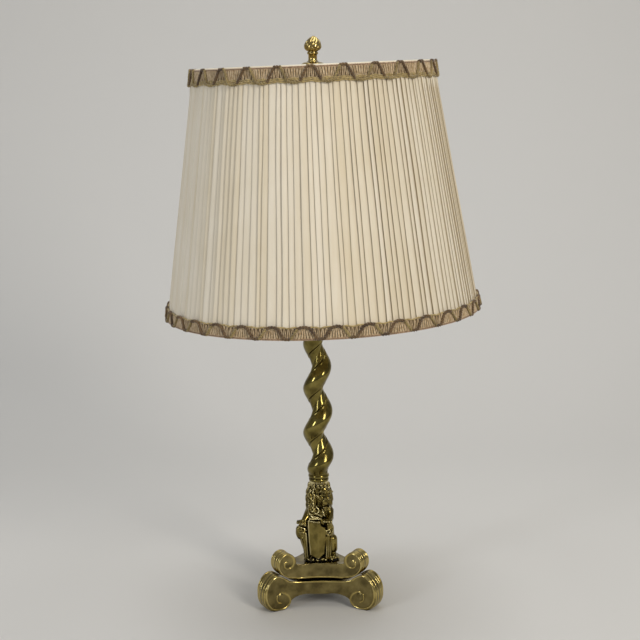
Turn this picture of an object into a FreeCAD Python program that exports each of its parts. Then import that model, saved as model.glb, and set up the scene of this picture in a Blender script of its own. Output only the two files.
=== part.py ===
"""Electric table lamp: a two-tier brass scroll base, a seated lion with a blank shield, a barley-twist
column, a two-light cluster and a leaning pleated shade on a wire frame, held by a finial.

Millimetres, +Z up. The origin is on the lamp's axis, on the surface that it stands on. The front is -Y.
"""

import FreeCAD, Part
import math
import os
import Sketcher
from FreeCAD import Placement, Rotation, Vector

SIZES = {
    # Threaded tube that clamps the castings
    "pipe_radius": 5.0,
    "pipe_bore_radius": 3.6,
    "pipe_gap": 0.25,
    "pipe_tail": 10.0,
    "seat_gap": 0.1,
    "running_gap": 0.08,
    "body_gap": 0.3,
    "overrun": 5.0,
    # Lower base tier: three legs that end in rolled feet
    "foot_width": 24.0,
    "foot_flat_inner": 69.0,
    "foot_flat_outer": 80.0,
    "foot_tip_radius": 93.0,
    "foot_widest_height": 20.0,
    "foot_roll_reach": 69.0,
    "foot_roll_height": 18.3,
    "foot_eye_radius": 4.6,
    "shoulder_radius": 73.4,
    "shoulder_height": 50.0,
    "lower_waist_radius": 32.0,
    "lower_waist_height": 36.5,
    "arch_height": 17.5,
    "arch_spring_radius": 54.7,
    "arch_spring_height": 12.0,
    "tier_seat_radius": 22.0,
    "recess_radius": 21.0,
    "recess_roof_height": 32.0,
    "tier_gap": 2.8,
    "eye_height": 1.1,
    "reed_height": 1.0,
    "reed_width": 3.6,
    "reed_pitch": 6.2,
    # Upper base tier: three legs that end in raised volutes
    "volute_width": 21.0,
    "upper_waist_radius": 28.0,
    "upper_tier_height": 20.6,
    "volute_heel_radius": 63.5,
    "volute_heel_height": 8.0,
    "volute_tip_radius": 70.7,
    "volute_widest_height": 24.0,
    "volute_crest_radius": 58.0,
    "volute_crest_height": 38.6,
    "volute_inner_radius": 46.0,
    "volute_inner_height": 25.0,
    "top_flat_radius": 38.0,
    "volute_eye_radius": 3.6,
    # Lion casting
    "lion_height": 104.6,
    "lion_neck_radius": 13.5,
    "shield_width": 24.0,
    "shield_height": 56.0,
    "shield_thickness": 4.0,
    "shield_lift": 3.0,
    "shield_shift": -3.0,
    "shield_front": 20.0,
    "shield_bow": 2.4,
    # Double-ring collar on the lion's head
    "collar_radius": 12.8,
    "collar_height": 14.0,
    "collar_groove": 1.2,
    # Barley-twist column
    "column_height": 211.0,
    "twist_pitch": 61.5,
    "twist_mark_height": 89.0,
    "strand_radius": 14.65,
    "strand_offset": 5.35,
    "strand_back_radius": 18.4,
    "strand_back_offset": 11.8,
    "column_end_radius": 12.6,
    "column_end_height": 7.0,
    "column_swell": 24.0,
    # Cap on the column and two-way cluster
    "cap_radius": 17.0,
    "cap_height": 16.0,
    "cluster_radius": 14.0,
    "cluster_height": 26.0,
    "cluster_socket_depth": 8.0,
    "arm_radius": 4.0,
    "arm_bore_radius": 2.8,
    "arm_insert": 4.0,
    "arm_bend_radius": 16.0,
    "arm_tail": 6.0,
    "light_offset": 47.0,
    # Lampholders
    "holder_radius": 19.0,
    "holder_wall": 1.0,
    "holder_cap_height": 13.0,
    "holder_shell_height": 38.0,
    "core_radius": 16.6,
    "core_floor_height": 9.0,
    "core_bore_radius": 14.4,
    "sleeve_wall": 0.5,
    "contact_radius": 4.0,
    "contact_height": 1.4,
    "ring_width": 2.2,
    "ring_height": 6.0,
    "ring_drop": 8.0,
    "key_radius": 1.8,
    "key_reach": 15.0,
    "key_depth": 3.0,
    "key_rise": 4.5,
    "key_paddle_length": 9.0,
    "key_paddle_height": 12.0,
    "key_paddle_thickness": 2.6,
    # Bulbs
    "bulb_cap_radius": 13.2,
    "bulb_cap_height": 24.0,
    "bulb_tip_radius": 5.0,
    "bulb_radius": 30.0,
    "bulb_widest_height": 46.0,
    "bulb_glass_height": 78.0,
    "bulb_wall": 1.0,
    "bulb_crown_radius": 2.0,
    # Centre rod, shade rest and what sits on them
    "rod_radius": 4.8,
    "rod_insert": 6.0,
    "stud_radius": 3.9,
    "stud_length": 22.0,
    "rest_radius": 12.0,
    "rest_height": 5.0,
    "hub_radius": 14.0,
    "hub_height": 3.0,
    "saucer_radius": 14.6,
    "saucer_height": 3.2,
    "saucer_edge": 1.0,
    # Finial
    "stem_height": 10.0,
    "stem_foot_radius": 8.0,
    "stem_radius": 5.6,
    "finial_ring_radius": 6.8,
    "finial_ring_height": 3.2,
    "bud_radius": 11.2,
    "bud_height": 20.0,
    "bud_widest_height": 6.5,
    "finial_bore_depth": 15.0,
    "finial_tip_radius": 0.6,
    # Shade
    "rim_height": 727.5,
    "shade_height": 323.0,
    "shade_top_radius": 156.0,
    "shade_bottom_radius": 207.0,
    "shade_lean": 1.6,
    "pleat_depth": 3.0,
    "pleat_backing": 0.8,
    "wire_radius": 1.5,
    "lining_wall": 0.8,
    "braid_height": 20.0,
    "braid_thickness": 2.6,
    "braid_overhang": 1.0,
    # Nut, washer and cord bush under and behind the base
    "washer_radius": 15.0,
    "washer_thickness": 2.0,
    "nut_flat_radius": 8.5,
    "nut_height": 6.0,
    "bush_radius": 5.0,
    "bush_bore_radius": 3.4,
    "bush_flange_radius": 7.0,
    "bush_flange_thickness": 1.6,
    "bush_height": 26.5,
}

LEG_DEGREES = (-150.0, -30.0, 90.0)
REEDS_PER_LEG = 3
STEPS_PER_TURN = 20
PLEATS = 142
STRUTS = 8
SPIDER_DEGREES = (180.0, 60.0, -60.0)

doc = FreeCAD.newDocument("table_lamp")
sheet = doc.addObject("Spreadsheet::Sheet", "sizes")
for row, (name, value) in enumerate(SIZES.items(), start=1):
    sheet.set(f"A{row}", name)
    sheet.set(f"B{row}", str(value))
    sheet.setAlias(f"B{row}", name)
doc.recompute()

made = {}


class Size:
    """A number together with the sheet expression that gives it."""

    def __init__(self, value, text=None):
        self.value = float(value)
        self.text = text if text is not None else repr(float(value))

    def joined(self, other, sign, value):
        return Size(value, f"({self.text} {sign} {other.text})")

    def __add__(self, other):
        other = as_size(other)
        return self.joined(other, "+", self.value + other.value)

    def __radd__(self, other):
        return as_size(other) + self

    def __sub__(self, other):
        other = as_size(other)
        return self.joined(other, "-", self.value - other.value)

    def __rsub__(self, other):
        return as_size(other) - self

    def __mul__(self, other):
        other = as_size(other)
        return self.joined(other, "*", self.value * other.value)

    def __rmul__(self, other):
        return as_size(other) * self

    def __truediv__(self, other):
        other = as_size(other)
        return self.joined(other, "/", self.value / other.value)

    def __neg__(self):
        return Size(0) - self

    def __float__(self):
        return self.value


def as_size(number):
    return number if isinstance(number, Size) else Size(number)


class Cells:
    """Reads the sheet's cells by name, as sizes."""

    def __getattr__(self, name):
        return Size(sheet.get(name), f"sizes.{name}")


s = Cells()


def cosine(degrees):
    return math.cos(math.radians(degrees))


def sine(degrees):
    return math.sin(math.radians(degrees))


def bind(thing, prop, size):
    """Give a property its value and tie it to the sheet."""
    size = as_size(size)
    if not prop.startswith("."):
        setattr(thing, prop, size.value)
    thing.setExpression(prop, size.text)


def place(thing, x=0, y=0, z=0):
    for axis, size in zip("xyz", (x, y, z)):
        bind(thing, f".Placement.Base.{axis}", size)
    return thing


def keep(thing, label):
    """Register a finished sub-part under its own name."""
    thing.Label = label
    made[label] = thing
    return thing


def add(kind, name, **sizes):
    """A document object whose properties are bound to sizes."""
    thing = doc.addObject(kind, name)
    for prop, size in sizes.items():
        bind(thing, prop, size)
    return thing


def cut(name, base, tool):
    thing = doc.addObject("Part::Cut", name)
    thing.Base = base
    thing.Tool = tool
    return thing


def fuse(name, *shapes):
    thing = doc.addObject("Part::MultiFuse", name)
    thing.Shapes = list(shapes)
    return thing


def common(name, *shapes):
    thing = doc.addObject("Part::MultiCommon", name)
    thing.Shapes = list(shapes)
    return thing


def feature(name, shape):
    thing = doc.addObject("Part::Feature", name)
    thing.Shape = shape
    return thing


def drill(name, base, radius, low, high, x=0):
    """Cut a round vertical hole from one height to another."""
    tool = add("Part::Cylinder", f"{name}_drill", Radius=radius, Height=high - low)
    place(tool, x=x, z=low)
    return cut(name, base, tool)


def hold(sketch, geometry, point, x, y):
    """Fix one point of a sketch by its two distances from the origin."""
    for kind, size in (("DistanceX", x), ("DistanceY", y)):
        size = as_size(size)
        row = sketch.addConstraint(Sketcher.Constraint(kind, geometry, point, size.value))
        sketch.setExpression(f"Constraints[{row}]", size.text)


def bulged(start, end, share):
    """The middle point of an arc that stands off its chord by a share of it, to the right of the way."""
    x = (start[0] + end[0]) * 0.5 + (end[1] - start[1]) * share
    y = (start[1] + end[1]) * 0.5 - (end[0] - start[0]) * share
    return x, y


def outline(body, name, role, way):
    """A closed sketch on one of the body's origin planes.

    way lists the corners as (x, y). A number between two corners makes an arc with that bulge share.
    """
    sketch = body.newObject("Sketcher::SketchObject", name)
    plane = [f for f in body.Origin.OriginFeatures if f.Role == role][0]
    sketch.AttachmentSupport = [(plane, "")]
    sketch.MapMode = "FlatFace"
    corners = [(as_size(w[0]), as_size(w[1])) for w in way if isinstance(w, tuple)]
    shares = []
    for w in way:
        if isinstance(w, tuple):
            shares.append(0.0)
        else:
            shares[-1] = w
    ends = []
    for i, share in enumerate(shares):
        start = corners[i]
        end = corners[(i + 1) % len(corners)]
        first = Vector(float(start[0]), float(start[1]), 0)
        last = Vector(float(end[0]), float(end[1]), 0)
        if not share:
            ends.append((sketch.addGeometry(Part.LineSegment(first, last), False), 1, 2))
            continue
        x, y = bulged(start, end, share)
        middle = Vector(float(x), float(y), 0)
        arc = sketch.addGeometry(Part.Arc(first, middle, last), False)
        forward = sketch.getPoint(arc, 1).distanceToPoint(first) < sketch.getPoint(arc, 2).distanceToPoint(first)
        ends.append((arc, 1, 2) if forward else (arc, 2, 1))
        mark = sketch.addGeometry(Part.Point(middle), True)
        sketch.addConstraint(Sketcher.Constraint("PointOnObject", mark, 1, arc))
        hold(sketch, mark, 1, x, y)
    for i, corner in enumerate(corners):
        before = ends[i - 1]
        after = ends[i]
        sketch.addConstraint(Sketcher.Constraint("Coincident", before[0], before[2], after[0], after[1]))
        hold(sketch, after[0], after[1], corner[0], corner[1])
    return sketch


def turned(label, way, x=0, z=0):
    """A body of revolution about a vertical axis, from its half section (radius, height)."""
    body = doc.addObject("PartDesign::Body", label)
    sketch = outline(body, f"{label}_section", "XZ_Plane", way)
    spin = body.newObject("PartDesign::Revolution", f"{label}_turning")
    spin.Profile = sketch
    spin.ReferenceAxis = (sketch, ["V_Axis"])
    spin.Angle = 360
    body.Tip = spin
    return place(body, x=x, z=z)


def raised(label, way, height, z=0):
    """A body padded upwards from a plan outline."""
    body = doc.addObject("PartDesign::Body", label)
    sketch = outline(body, f"{label}_plan", "XY_Plane", way)
    pad = body.newObject("PartDesign::Pad", f"{label}_pad")
    pad.Profile = sketch
    bind(pad, "Length", height)
    body.Tip = pad
    return place(body, z=z)


# Heights of the stack, each worked out from what stands below it
z_lower_top = s.lower_waist_height + s.tier_gap
z_upper_top = z_lower_top + s.upper_tier_height
z_lion_top = z_upper_top + s.lion_height
z_collar_top = z_lion_top + s.collar_height
z_column_top = z_collar_top + s.column_height
z_cap_top = z_column_top + s.cap_height
z_cluster_top = z_cap_top + s.cluster_height
z_hub = s.rim_height - s.wire_radius - s.hub_height * 0.5
z_rest_top = z_hub - s.body_gap
z_rest = z_rest_top - s.rest_height
z_hub_top = z_hub + s.hub_height
z_saucer = z_hub_top + s.body_gap
z_finial = z_saucer + s.saucer_height + s.body_gap
z_arm = z_cap_top + s.cluster_height * 0.5
z_holder = z_arm + s.arm_bend_radius + s.arm_tail
z_shell = z_holder + s.holder_cap_height
z_core_floor = z_shell + s.core_floor_height
z_bulb_tip = z_core_floor + s.contact_height + s.body_gap
z_glass = z_bulb_tip + s.bulb_cap_height
bore_radius = s.pipe_radius + s.pipe_gap


def triform_plan(waist, half_width, reach):
    """Corners of a three-legged plan whose sides curve in between the legs, tangent to them."""
    turn = 30.0
    side_radius = (waist * cosine(turn) - half_width) / (1.0 - cosine(turn))
    tangent_reach = (waist + side_radius) * sine(turn)
    side_share = 0.5 * math.tan(math.radians(turn / 2.0))
    way = []
    for degrees in LEG_DEGREES:
        along = (cosine(degrees), sine(degrees))
        for side, distance in ((-1, tangent_reach), (-1, reach), (1, reach), (1, tangent_reach)):
            x = distance * along[0] - half_width * (side * along[1])
            y = distance * along[1] + half_width * (side * along[0])
            way.append((x, y))
        way.append(-side_share)
    return way


def reeds(label, profile, reach, height, z=0):
    """Raised reeds that run round the band of each leg: upright slices of a slightly larger turned shape."""
    slices = []
    for leg, degrees in enumerate(LEG_DEGREES):
        for reed in range(REEDS_PER_LEG):
            shift = s.reed_pitch * (reed - (REEDS_PER_LEG - 1) / 2.0) - s.reed_width * 0.5
            box = add("Part::Box", f"{label}_reed_{leg}_{reed}", Length=reach, Width=s.reed_width, Height=height)
            place(box, x=-shift * sine(degrees), y=shift * cosine(degrees), z=z)
            box.Placement.Rotation = Rotation(Vector(0, 0, 1), degrees)
            slices.append(box)
    strips = doc.addObject("Part::Compound", f"{label}_strips")
    strips.Links = slices
    return common(f"{label}_reeds", strips, profile)


def eyes(label, radius, width, reach, height):
    """Round bosses at the centre of each roll, proud of both of its sides."""
    pins = []
    for leg, degrees in enumerate(LEG_DEGREES):
        length = width + s.eye_height * 2.0
        pin = add("Part::Cylinder", f"{label}_eye_{leg}", Radius=radius, Height=length)
        pin.Placement.Rotation = Rotation(Vector(0, 0, 1), Vector(-sine(degrees), cosine(degrees), 0))
        x = reach * cosine(degrees) + length * (0.5 * sine(degrees))
        y = reach * sine(degrees) - length * (0.5 * cosine(degrees))
        place(pin, x=x, y=y, z=height)
        pins.append(pin)
    return pins


def lower_profile(proud):
    """Half section of the lower tier: recess, arch, roll, shoulder and dipped top.

    The outer band is moved out by proud.
    """
    return [
        (0, s.recess_roof_height),
        (s.recess_radius, s.recess_roof_height),
        (s.recess_radius, s.arch_height),
        (s.lower_waist_radius, s.arch_height),
        -0.12,
        (s.arch_spring_radius, s.arch_spring_height),
        0.2,
        (s.foot_flat_inner, 0),
        (s.foot_flat_outer, 0),
        0.153,
        (s.foot_tip_radius + proud, s.foot_widest_height),
        0.148,
        (s.shoulder_radius, s.shoulder_height + proud),
        -0.1,
        (s.lower_waist_radius + s.tier_gap, s.lower_waist_height),
        (s.tier_seat_radius, s.lower_waist_height),
        (s.tier_seat_radius, z_lower_top),
        (0, z_lower_top),
    ]


def upper_profile(proud):
    """Half section of the upper tier, from its flat underside out to the volute and back over its crest."""
    return [
        (0, 0),
        (s.upper_waist_radius, 0),
        0.08,
        (s.volute_heel_radius, s.volute_heel_height - proud),
        0.129,
        (s.volute_tip_radius + proud, s.volute_widest_height),
        0.202,
        (s.volute_crest_radius, s.volute_crest_height + proud),
        0.197,
        (s.volute_inner_radius, s.volute_inner_height),
        (s.volute_inner_radius, s.upper_tier_height + s.reed_height),
        (s.top_flat_radius, s.upper_tier_height),
        (0, s.upper_tier_height),
    ]


def base_lower():
    """The wide casting: three legs that roll into feet, joined by concave sides over a low arch."""
    reach = s.foot_tip_radius + s.overrun
    half = s.foot_width * 0.5
    plan = raised("lower_plan", triform_plan(s.lower_waist_radius, half, reach), s.shoulder_height + s.overrun)
    core = common("lower_core", plan, turned("lower_shape", lower_profile(Size(0))))
    rim = turned("lower_reed_shape", lower_profile(s.reed_height))
    ribs = reeds("lower", rim, reach, s.shoulder_height + s.overrun)
    bosses = eyes("lower", s.foot_eye_radius, s.foot_width, s.foot_roll_reach, s.foot_roll_height)
    whole = fuse("lower_whole", core, ribs, *bosses)
    bored = drill("lower_bored", whole, bore_radius, Size(0), z_lower_top + s.overrun)
    channel = add("Part::Cylinder", "cord_channel", Radius=s.bush_radius + s.seat_gap, Height=s.foot_tip_radius)
    channel.Placement.Rotation = Rotation(Vector(0, 0, 1), Vector(cosine(150), sine(150), 0))
    place(channel, z=s.bush_height)
    return keep(cut("base_lower", bored, channel), "base_lower")


def base_upper():
    """The smaller casting, with volutes that stand above its flat top."""
    reach = s.volute_tip_radius + s.overrun
    half = s.volute_width * 0.5
    tall = s.volute_crest_height + s.overrun
    plan = raised("upper_plan", triform_plan(s.upper_waist_radius, half, reach), tall)
    core = common("upper_core", plan, turned("upper_shape", upper_profile(Size(0))))
    ribs = reeds("upper", turned("upper_reed_shape", upper_profile(s.reed_height)), reach, tall)
    centre = s.volute_crest_radius
    bosses = eyes("upper", s.volute_eye_radius, s.volute_width, centre, s.volute_widest_height)
    whole = fuse("upper_whole", core, ribs, *bosses)
    bored = drill("base_upper", whole, bore_radius, -s.overrun, tall)
    return place(keep(bored, "base_upper"), z=z_lower_top)


# Masses and limbs of the lion: two round ends and the radius at each, as shares of its height
LION_SHARES = {
    "rump": ((0.012, 0.100, 0.180), 0.198, (0.006, 0.085, 0.330), 0.188),
    "barrel": ((0.000, 0.045, 0.430), 0.166, (0.002, 0.018, 0.620), 0.152),
    "mane": ((-0.012, 0.012, 0.735), 0.171, (-0.008, 0.006, 0.850), 0.148),
    "bib": ((-0.088, -0.066, 0.628), 0.090, (0.014, -0.072, 0.618), 0.086),
    "brow": ((0.002, -0.082, 0.885), 0.079, (0.083, -0.074, 0.872), 0.071),
    "muzzle": ((0.034, -0.098, 0.802), 0.068, (0.096, -0.166, 0.784), 0.053),
    "jaw": ((0.038, -0.088, 0.716), 0.052, (0.090, -0.142, 0.704), 0.041),
    "foreleg_left": ((-0.115, -0.030, 0.632), 0.076, (-0.193, -0.152, 0.524), 0.049),
    "foreleg_right": ((0.122, -0.032, 0.634), 0.075, (0.113, -0.156, 0.552), 0.047),
    "paw_left": ((-0.228, -0.172, 0.506), 0.044, (-0.178, -0.208, 0.498), 0.046),
    "paw_right": ((0.093, -0.176, 0.540), 0.043, (0.146, -0.198, 0.530), 0.042),
    "hind_left": ((-0.205, -0.048, 0.362), 0.089, (-0.147, -0.108, 0.062), 0.046),
    "hind_right": ((0.163, -0.046, 0.298), 0.083, (0.178, -0.086, 0.058), 0.047),
    "foot_left": ((-0.128, -0.098, 0.042), 0.053, (-0.134, -0.186, 0.036), 0.043),
    "foot_right": ((0.184, -0.072, 0.043), 0.054, (0.194, -0.154, 0.037), 0.044),
    "shin_middle": ((0.096, -0.126, 0.302), 0.045, (0.061, -0.118, 0.052), 0.037),
    "foot_middle": ((0.059, -0.124, 0.038), 0.041, (0.052, -0.182, 0.033), 0.036),
    "tail": ((0.020, 0.300, 0.050), 0.031, (0.152, 0.216, 0.222), 0.027),
}
LION_NECK_SHARE = 0.84

# Rolled ears of the shield: centre and radius, as shares of the lion's height
SHIELD_EAR_SHARES = {
    "left": ((-0.215, 0.405), 0.072),
    "right": ((0.125, 0.370), 0.056),
}


# Outline of the shield: across as a share of its half width, up as a share of its height
SHIELD_OUTLINE_SHARES = (
    (0.0, 0.0),
    (0.84, 0.10),
    (1.0, 0.72),
    (0.86, 1.0),
    (-0.86, 1.0),
    (-1.0, 0.72),
    (-0.84, 0.10),
)


def bore_through(height):
    """The pipe's hole through a casting that stands at height zero."""
    over = float(s.overrun)
    return Part.makeCylinder(float(bore_radius), height + 2.0 * over, Vector(0, 0, -over))


def limb(start, start_radius, end, end_radius):
    """Two round ends joined by the cone that touches both, turned as one solid about the line between them."""
    line = end - start
    flare = math.degrees(math.asin((start_radius - end_radius) / line.Length))

    def rim(height, radius, degrees):
        return Vector(radius * cosine(degrees), 0, height + radius * sine(degrees))

    low, top = rim(0, start_radius, -90.0), rim(line.Length, end_radius, 90.0)
    first, last = rim(0, start_radius, flare), rim(line.Length, end_radius, flare)
    below = rim(0, start_radius, (flare - 90.0) / 2.0)
    above = rim(line.Length, end_radius, (flare + 90.0) / 2.0)
    edges = [
        Part.Arc(low, below, first).toShape(),
        Part.LineSegment(first, last).toShape(),
        Part.Arc(last, above, top).toShape(),
        Part.LineSegment(top, low).toShape(),
    ]
    solid = Part.Face(Part.Wire(edges)).revolve(Vector(0, 0, 0), Vector(0, 0, 1), 360)
    solid.Placement = Placement(start, Rotation(Vector(0, 0, 1), line))
    return solid


def shield_shape():
    """A tall bowed cartouche with a pointed foot, blank, between two rolled ears."""
    half = float(s.shield_width) / 2.0
    tall = float(s.shield_height)
    thick = float(s.shield_thickness)
    bow = float(s.shield_bow)
    middle = float(s.shield_shift)
    low = float(s.shield_lift)
    front = -float(s.shield_front)
    points = []
    for across_share, up_share in SHIELD_OUTLINE_SHARES:
        points.append(Vector(middle + across_share * half, 0, low + up_share * tall))
    face = Part.Face(Part.makePolygon(points + points[:1]))
    face.translate(Vector(0, front - bow, 0))
    plate = face.extrude(Vector(0, thick + 3.0 * bow, 0))
    reach = (half * half + bow * bow) / (2.0 * bow)
    centre = Vector(middle, front - bow + reach, low - thick)
    bowed = Part.makeCylinder(reach, tall + 2.0 * thick, centre)
    return plate.common(bowed)


def lion():
    """Seated lion, head turned to its left, forepaws on the ears of a blank shield."""
    tall = float(s.lion_height)
    pieces = []
    for start_share, start_radius_share, end_share, end_radius_share in LION_SHARES.values():
        start = Vector(*start_share) * tall
        end = Vector(*end_share) * tall
        pieces.append(limb(start, start_radius_share * tall, end, end_radius_share * tall))
    depth = float(s.shield_thickness) + 2.0 * float(s.shield_bow)
    for (x_share, z_share), radius_share in SHIELD_EAR_SHARES.values():
        start = Vector(x_share * tall, -float(s.shield_front), z_share * tall)
        pieces.append(Part.makeCylinder(radius_share * tall, depth, start, Vector(0, 1, 0)))
    neck_low = Vector(0, 0, LION_NECK_SHARE * tall)
    neck = Part.makeCylinder(float(s.lion_neck_radius), tall - neck_low.z, neck_low)
    pieces += [neck, shield_shape()]
    body = pieces[0].multiFuse(pieces[1:])
    body = body.common(Part.makeBox(tall, tall, tall, Vector(-tall / 2.0, -tall / 2.0, 0)))
    whole = feature("lion", body.cut(bore_through(tall)))
    return place(keep(whole, "lion"), z=z_upper_top)


def collar():
    """Two rounded rings with a groove between them."""
    bead = (s.collar_height - s.collar_groove) * 0.5
    body = turned(
        "collar",
        [
            (bore_radius, 0),
            (s.collar_radius, 0),
            0.34,
            (s.collar_radius, bead),
            (s.collar_radius, bead + s.collar_groove),
            0.34,
            (s.collar_radius, s.collar_height),
            (bore_radius, s.collar_height),
        ],
        z=z_lion_top,
    )
    return keep(body, "collar")


# Thickness of the twist at its foot, and what it loses on the way up
TWIST_FOOT_SHARE = 1.06
TWIST_TAPER_SHARE = 0.15
# Least share of its wandering that the strand keeps at either end, where it is nearly a plain round bar
TWIST_LEAST_SHARE = 0.05


def twist_section(height):
    """Two arcs that meet in ridges: the strand's full round front and the flatter back that it turns inwards."""
    tall = float(s.column_height)
    taper = TWIST_FOOT_SHARE - TWIST_TAPER_SHARE * height / tall
    way = min(1.0, min(height, tall - height) / float(s.column_swell))
    share = max(TWIST_LEAST_SHARE, sine(90.0 * way))
    end = float(s.column_end_radius)
    front = taper * (end + (float(s.strand_radius) - end) * share)
    back = taper * (end + (float(s.strand_back_radius) - end) * share)
    front_at = taper * float(s.strand_offset) * share
    back_at = taper * float(s.strand_back_offset) * share
    x = (front**2 - back**2 - front_at**2 + back_at**2) / (2.0 * (back_at - front_at))
    y = math.sqrt(front**2 - (x - front_at) ** 2)
    turn = 360.0 * (height - float(s.twist_mark_height)) / float(s.twist_pitch)
    low, high = Vector(x, -y, 0), Vector(x, y, 0)
    outer = Vector(front_at + front, 0, 0)
    inner = Vector(back_at - back, 0, 0)
    wire = Part.Wire([Part.Arc(low, outer, high).toShape(), Part.Arc(high, inner, low).toShape()])
    wire.Placement = Placement(Vector(0, 0, height), Rotation(Vector(0, 0, 1), turn))
    return wire


def twist_column():
    """Right-handed barley twist, a ruled loft through turned sections, bored for the pipe."""
    tall = float(s.column_height)
    steps = math.ceil(STEPS_PER_TURN * tall / float(s.twist_pitch))
    heights = [tall * i / steps for i in range(steps + 1)]
    loft = Part.makeLoft([twist_section(z) for z in heights], True, True)
    end_radius = float(s.column_end_radius)
    end_height = float(s.column_end_height)
    foot = Part.makeCylinder(end_radius, end_height)
    head = Part.makeCylinder(end_radius, end_height, Vector(0, 0, tall - end_height))
    whole = feature("twist_column", loft.fuse([foot, head]).cut(bore_through(tall)))
    return place(keep(whole, "twist_column"), z=z_collar_top)


def column_cap():
    """Turned cap that closes the top of the column."""
    body = turned(
        "column_cap",
        [
            (bore_radius, 0),
            (s.column_end_radius, 0),
            0.2,
            (s.cap_radius, s.cap_height * 0.3),
            0.35,
            (s.cap_radius, s.cap_height * 0.6),
            -0.15,
            (s.cluster_radius * 0.8, s.cap_height),
            (bore_radius, s.cap_height),
        ],
        z=z_column_top,
    )
    return keep(body, "column_cap")


def lamp_pipe():
    """Threaded tube through the castings, from under the base up into the cluster."""
    low = s.recess_roof_height - s.washer_thickness - s.pipe_tail
    top = z_cap_top + s.cluster_socket_depth
    outer = add("Part::Cylinder", "pipe_outer", Radius=s.pipe_radius, Height=top - low)
    inner = add("Part::Cylinder", "pipe_inner", Radius=s.pipe_bore_radius, Height=top - low)
    return keep(place(cut("lamp_pipe", outer, inner), z=low), "lamp_pipe")


def bottom_fixings():
    """Washer and six-sided nut that pull the stack together from below."""
    gap = s.pipe_radius + s.seat_gap
    z_washer = s.recess_roof_height - s.washer_thickness
    washer = add("Part::Cylinder", "washer_blank", Radius=s.washer_radius, Height=s.washer_thickness)
    place(washer, z=z_washer)
    keep(drill("bottom_washer", washer, gap, z_washer - s.overrun, s.recess_roof_height), "bottom_washer")
    way = []
    corner = s.nut_flat_radius / cosine(30)
    for i in range(6):
        way.append((corner * cosine(60.0 * i), corner * sine(60.0 * i)))
    nut = raised("nut_blank", way, s.nut_height, z=z_washer - s.nut_height)
    keep(drill("bottom_nut", nut, gap, z_washer - s.nut_height * 2.0, z_washer), "bottom_nut")


def cord_bush():
    """Flanged sleeve in the back of the lower tier, where the supply cord would enter."""
    seat = s.lower_waist_radius + s.body_gap
    end = seat + s.bush_flange_thickness
    body = doc.addObject("PartDesign::Body", "cord_bush")
    sketch = outline(
        body,
        "cord_bush_section",
        "XZ_Plane",
        [
            (s.bush_bore_radius, s.recess_radius),
            (s.bush_radius, s.recess_radius),
            (s.bush_radius, seat),
            (s.bush_flange_radius, seat),
            (s.bush_flange_radius, end),
            (s.bush_bore_radius, end),
        ],
    )
    spin = body.newObject("PartDesign::Revolution", "cord_bush_turning")
    spin.Profile = sketch
    spin.ReferenceAxis = (sketch, ["V_Axis"])
    spin.Angle = 360
    body.Tip = spin
    body.Placement.Rotation = Rotation(Vector(0, 0, 1), Vector(cosine(150), sine(150), 0))
    place(body, z=s.bush_height)
    return keep(body, "cord_bush")


def cluster_body():
    """Turned body with a socket for the pipe, one for the rod, and a side hole for each arm."""
    body = turned(
        "cluster_turned",
        [
            (s.pipe_bore_radius, s.cluster_socket_depth),
            (s.pipe_radius + s.seat_gap, s.cluster_socket_depth),
            (s.pipe_radius + s.seat_gap, 0),
            (s.cluster_radius * 0.8, 0),
            0.15,
            (s.cluster_radius, s.cluster_height * 0.25),
            (s.cluster_radius, s.cluster_height * 0.75),
            0.2,
            (s.cluster_radius * 0.6, s.cluster_height),
            (s.rod_radius + s.seat_gap, s.cluster_height),
            (s.rod_radius + s.seat_gap, s.cluster_height - s.rod_insert),
            (s.pipe_bore_radius, s.cluster_height - s.rod_insert),
        ],
        z=z_cap_top,
    )
    width = s.cluster_radius * 2.0 + s.overrun
    hole = add("Part::Cylinder", "arm_holes", Radius=s.arm_radius + s.seat_gap, Height=width)
    hole.Placement.Rotation = Rotation(Vector(0, 1, 0), 90)
    place(hole, x=width * -0.5, z=z_arm)
    return keep(cut("cluster_body", body, hole), "cluster_body")


def bent_tube(path, radius, bore):
    """A hollow tube that follows a path of lines and tangent arcs."""
    first = path.Edges[0]
    start = first.valueAt(first.FirstParameter)
    way = first.tangentAt(first.FirstParameter)
    shapes = []
    for size in (radius, bore):
        ring = Part.Wire([Part.makeCircle(size, start, way)])
        shapes.append(path.makePipeShell([ring], True, False))
    return shapes[0].cut(shapes[1])


def arm(side, word):
    """Arm that leaves the cluster sideways and turns up to its lampholder."""
    start = float(s.cluster_radius - s.arm_insert)
    reach = float(s.light_offset)
    bend = float(s.arm_bend_radius)
    low = float(z_arm)
    quarter = bend * (1.0 - cosine(45))
    points = [
        Vector(side * start, 0, low),
        Vector(side * (reach - bend), 0, low),
        Vector(side * (reach - bend + bend * sine(45)), 0, low + quarter),
        Vector(side * reach, 0, low + bend),
        Vector(side * reach, 0, float(z_holder) + float(s.holder_wall)),
    ]
    path = Part.Wire(
        [
            Part.LineSegment(points[0], points[1]).toShape(),
            Part.Arc(points[1], points[2], points[3]).toShape(),
            Part.LineSegment(points[3], points[4]).toShape(),
        ]
    )
    tube = bent_tube(path, float(s.arm_radius), float(s.arm_bore_radius))
    return keep(feature(f"arm_{word}", tube), f"arm_{word}")


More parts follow.
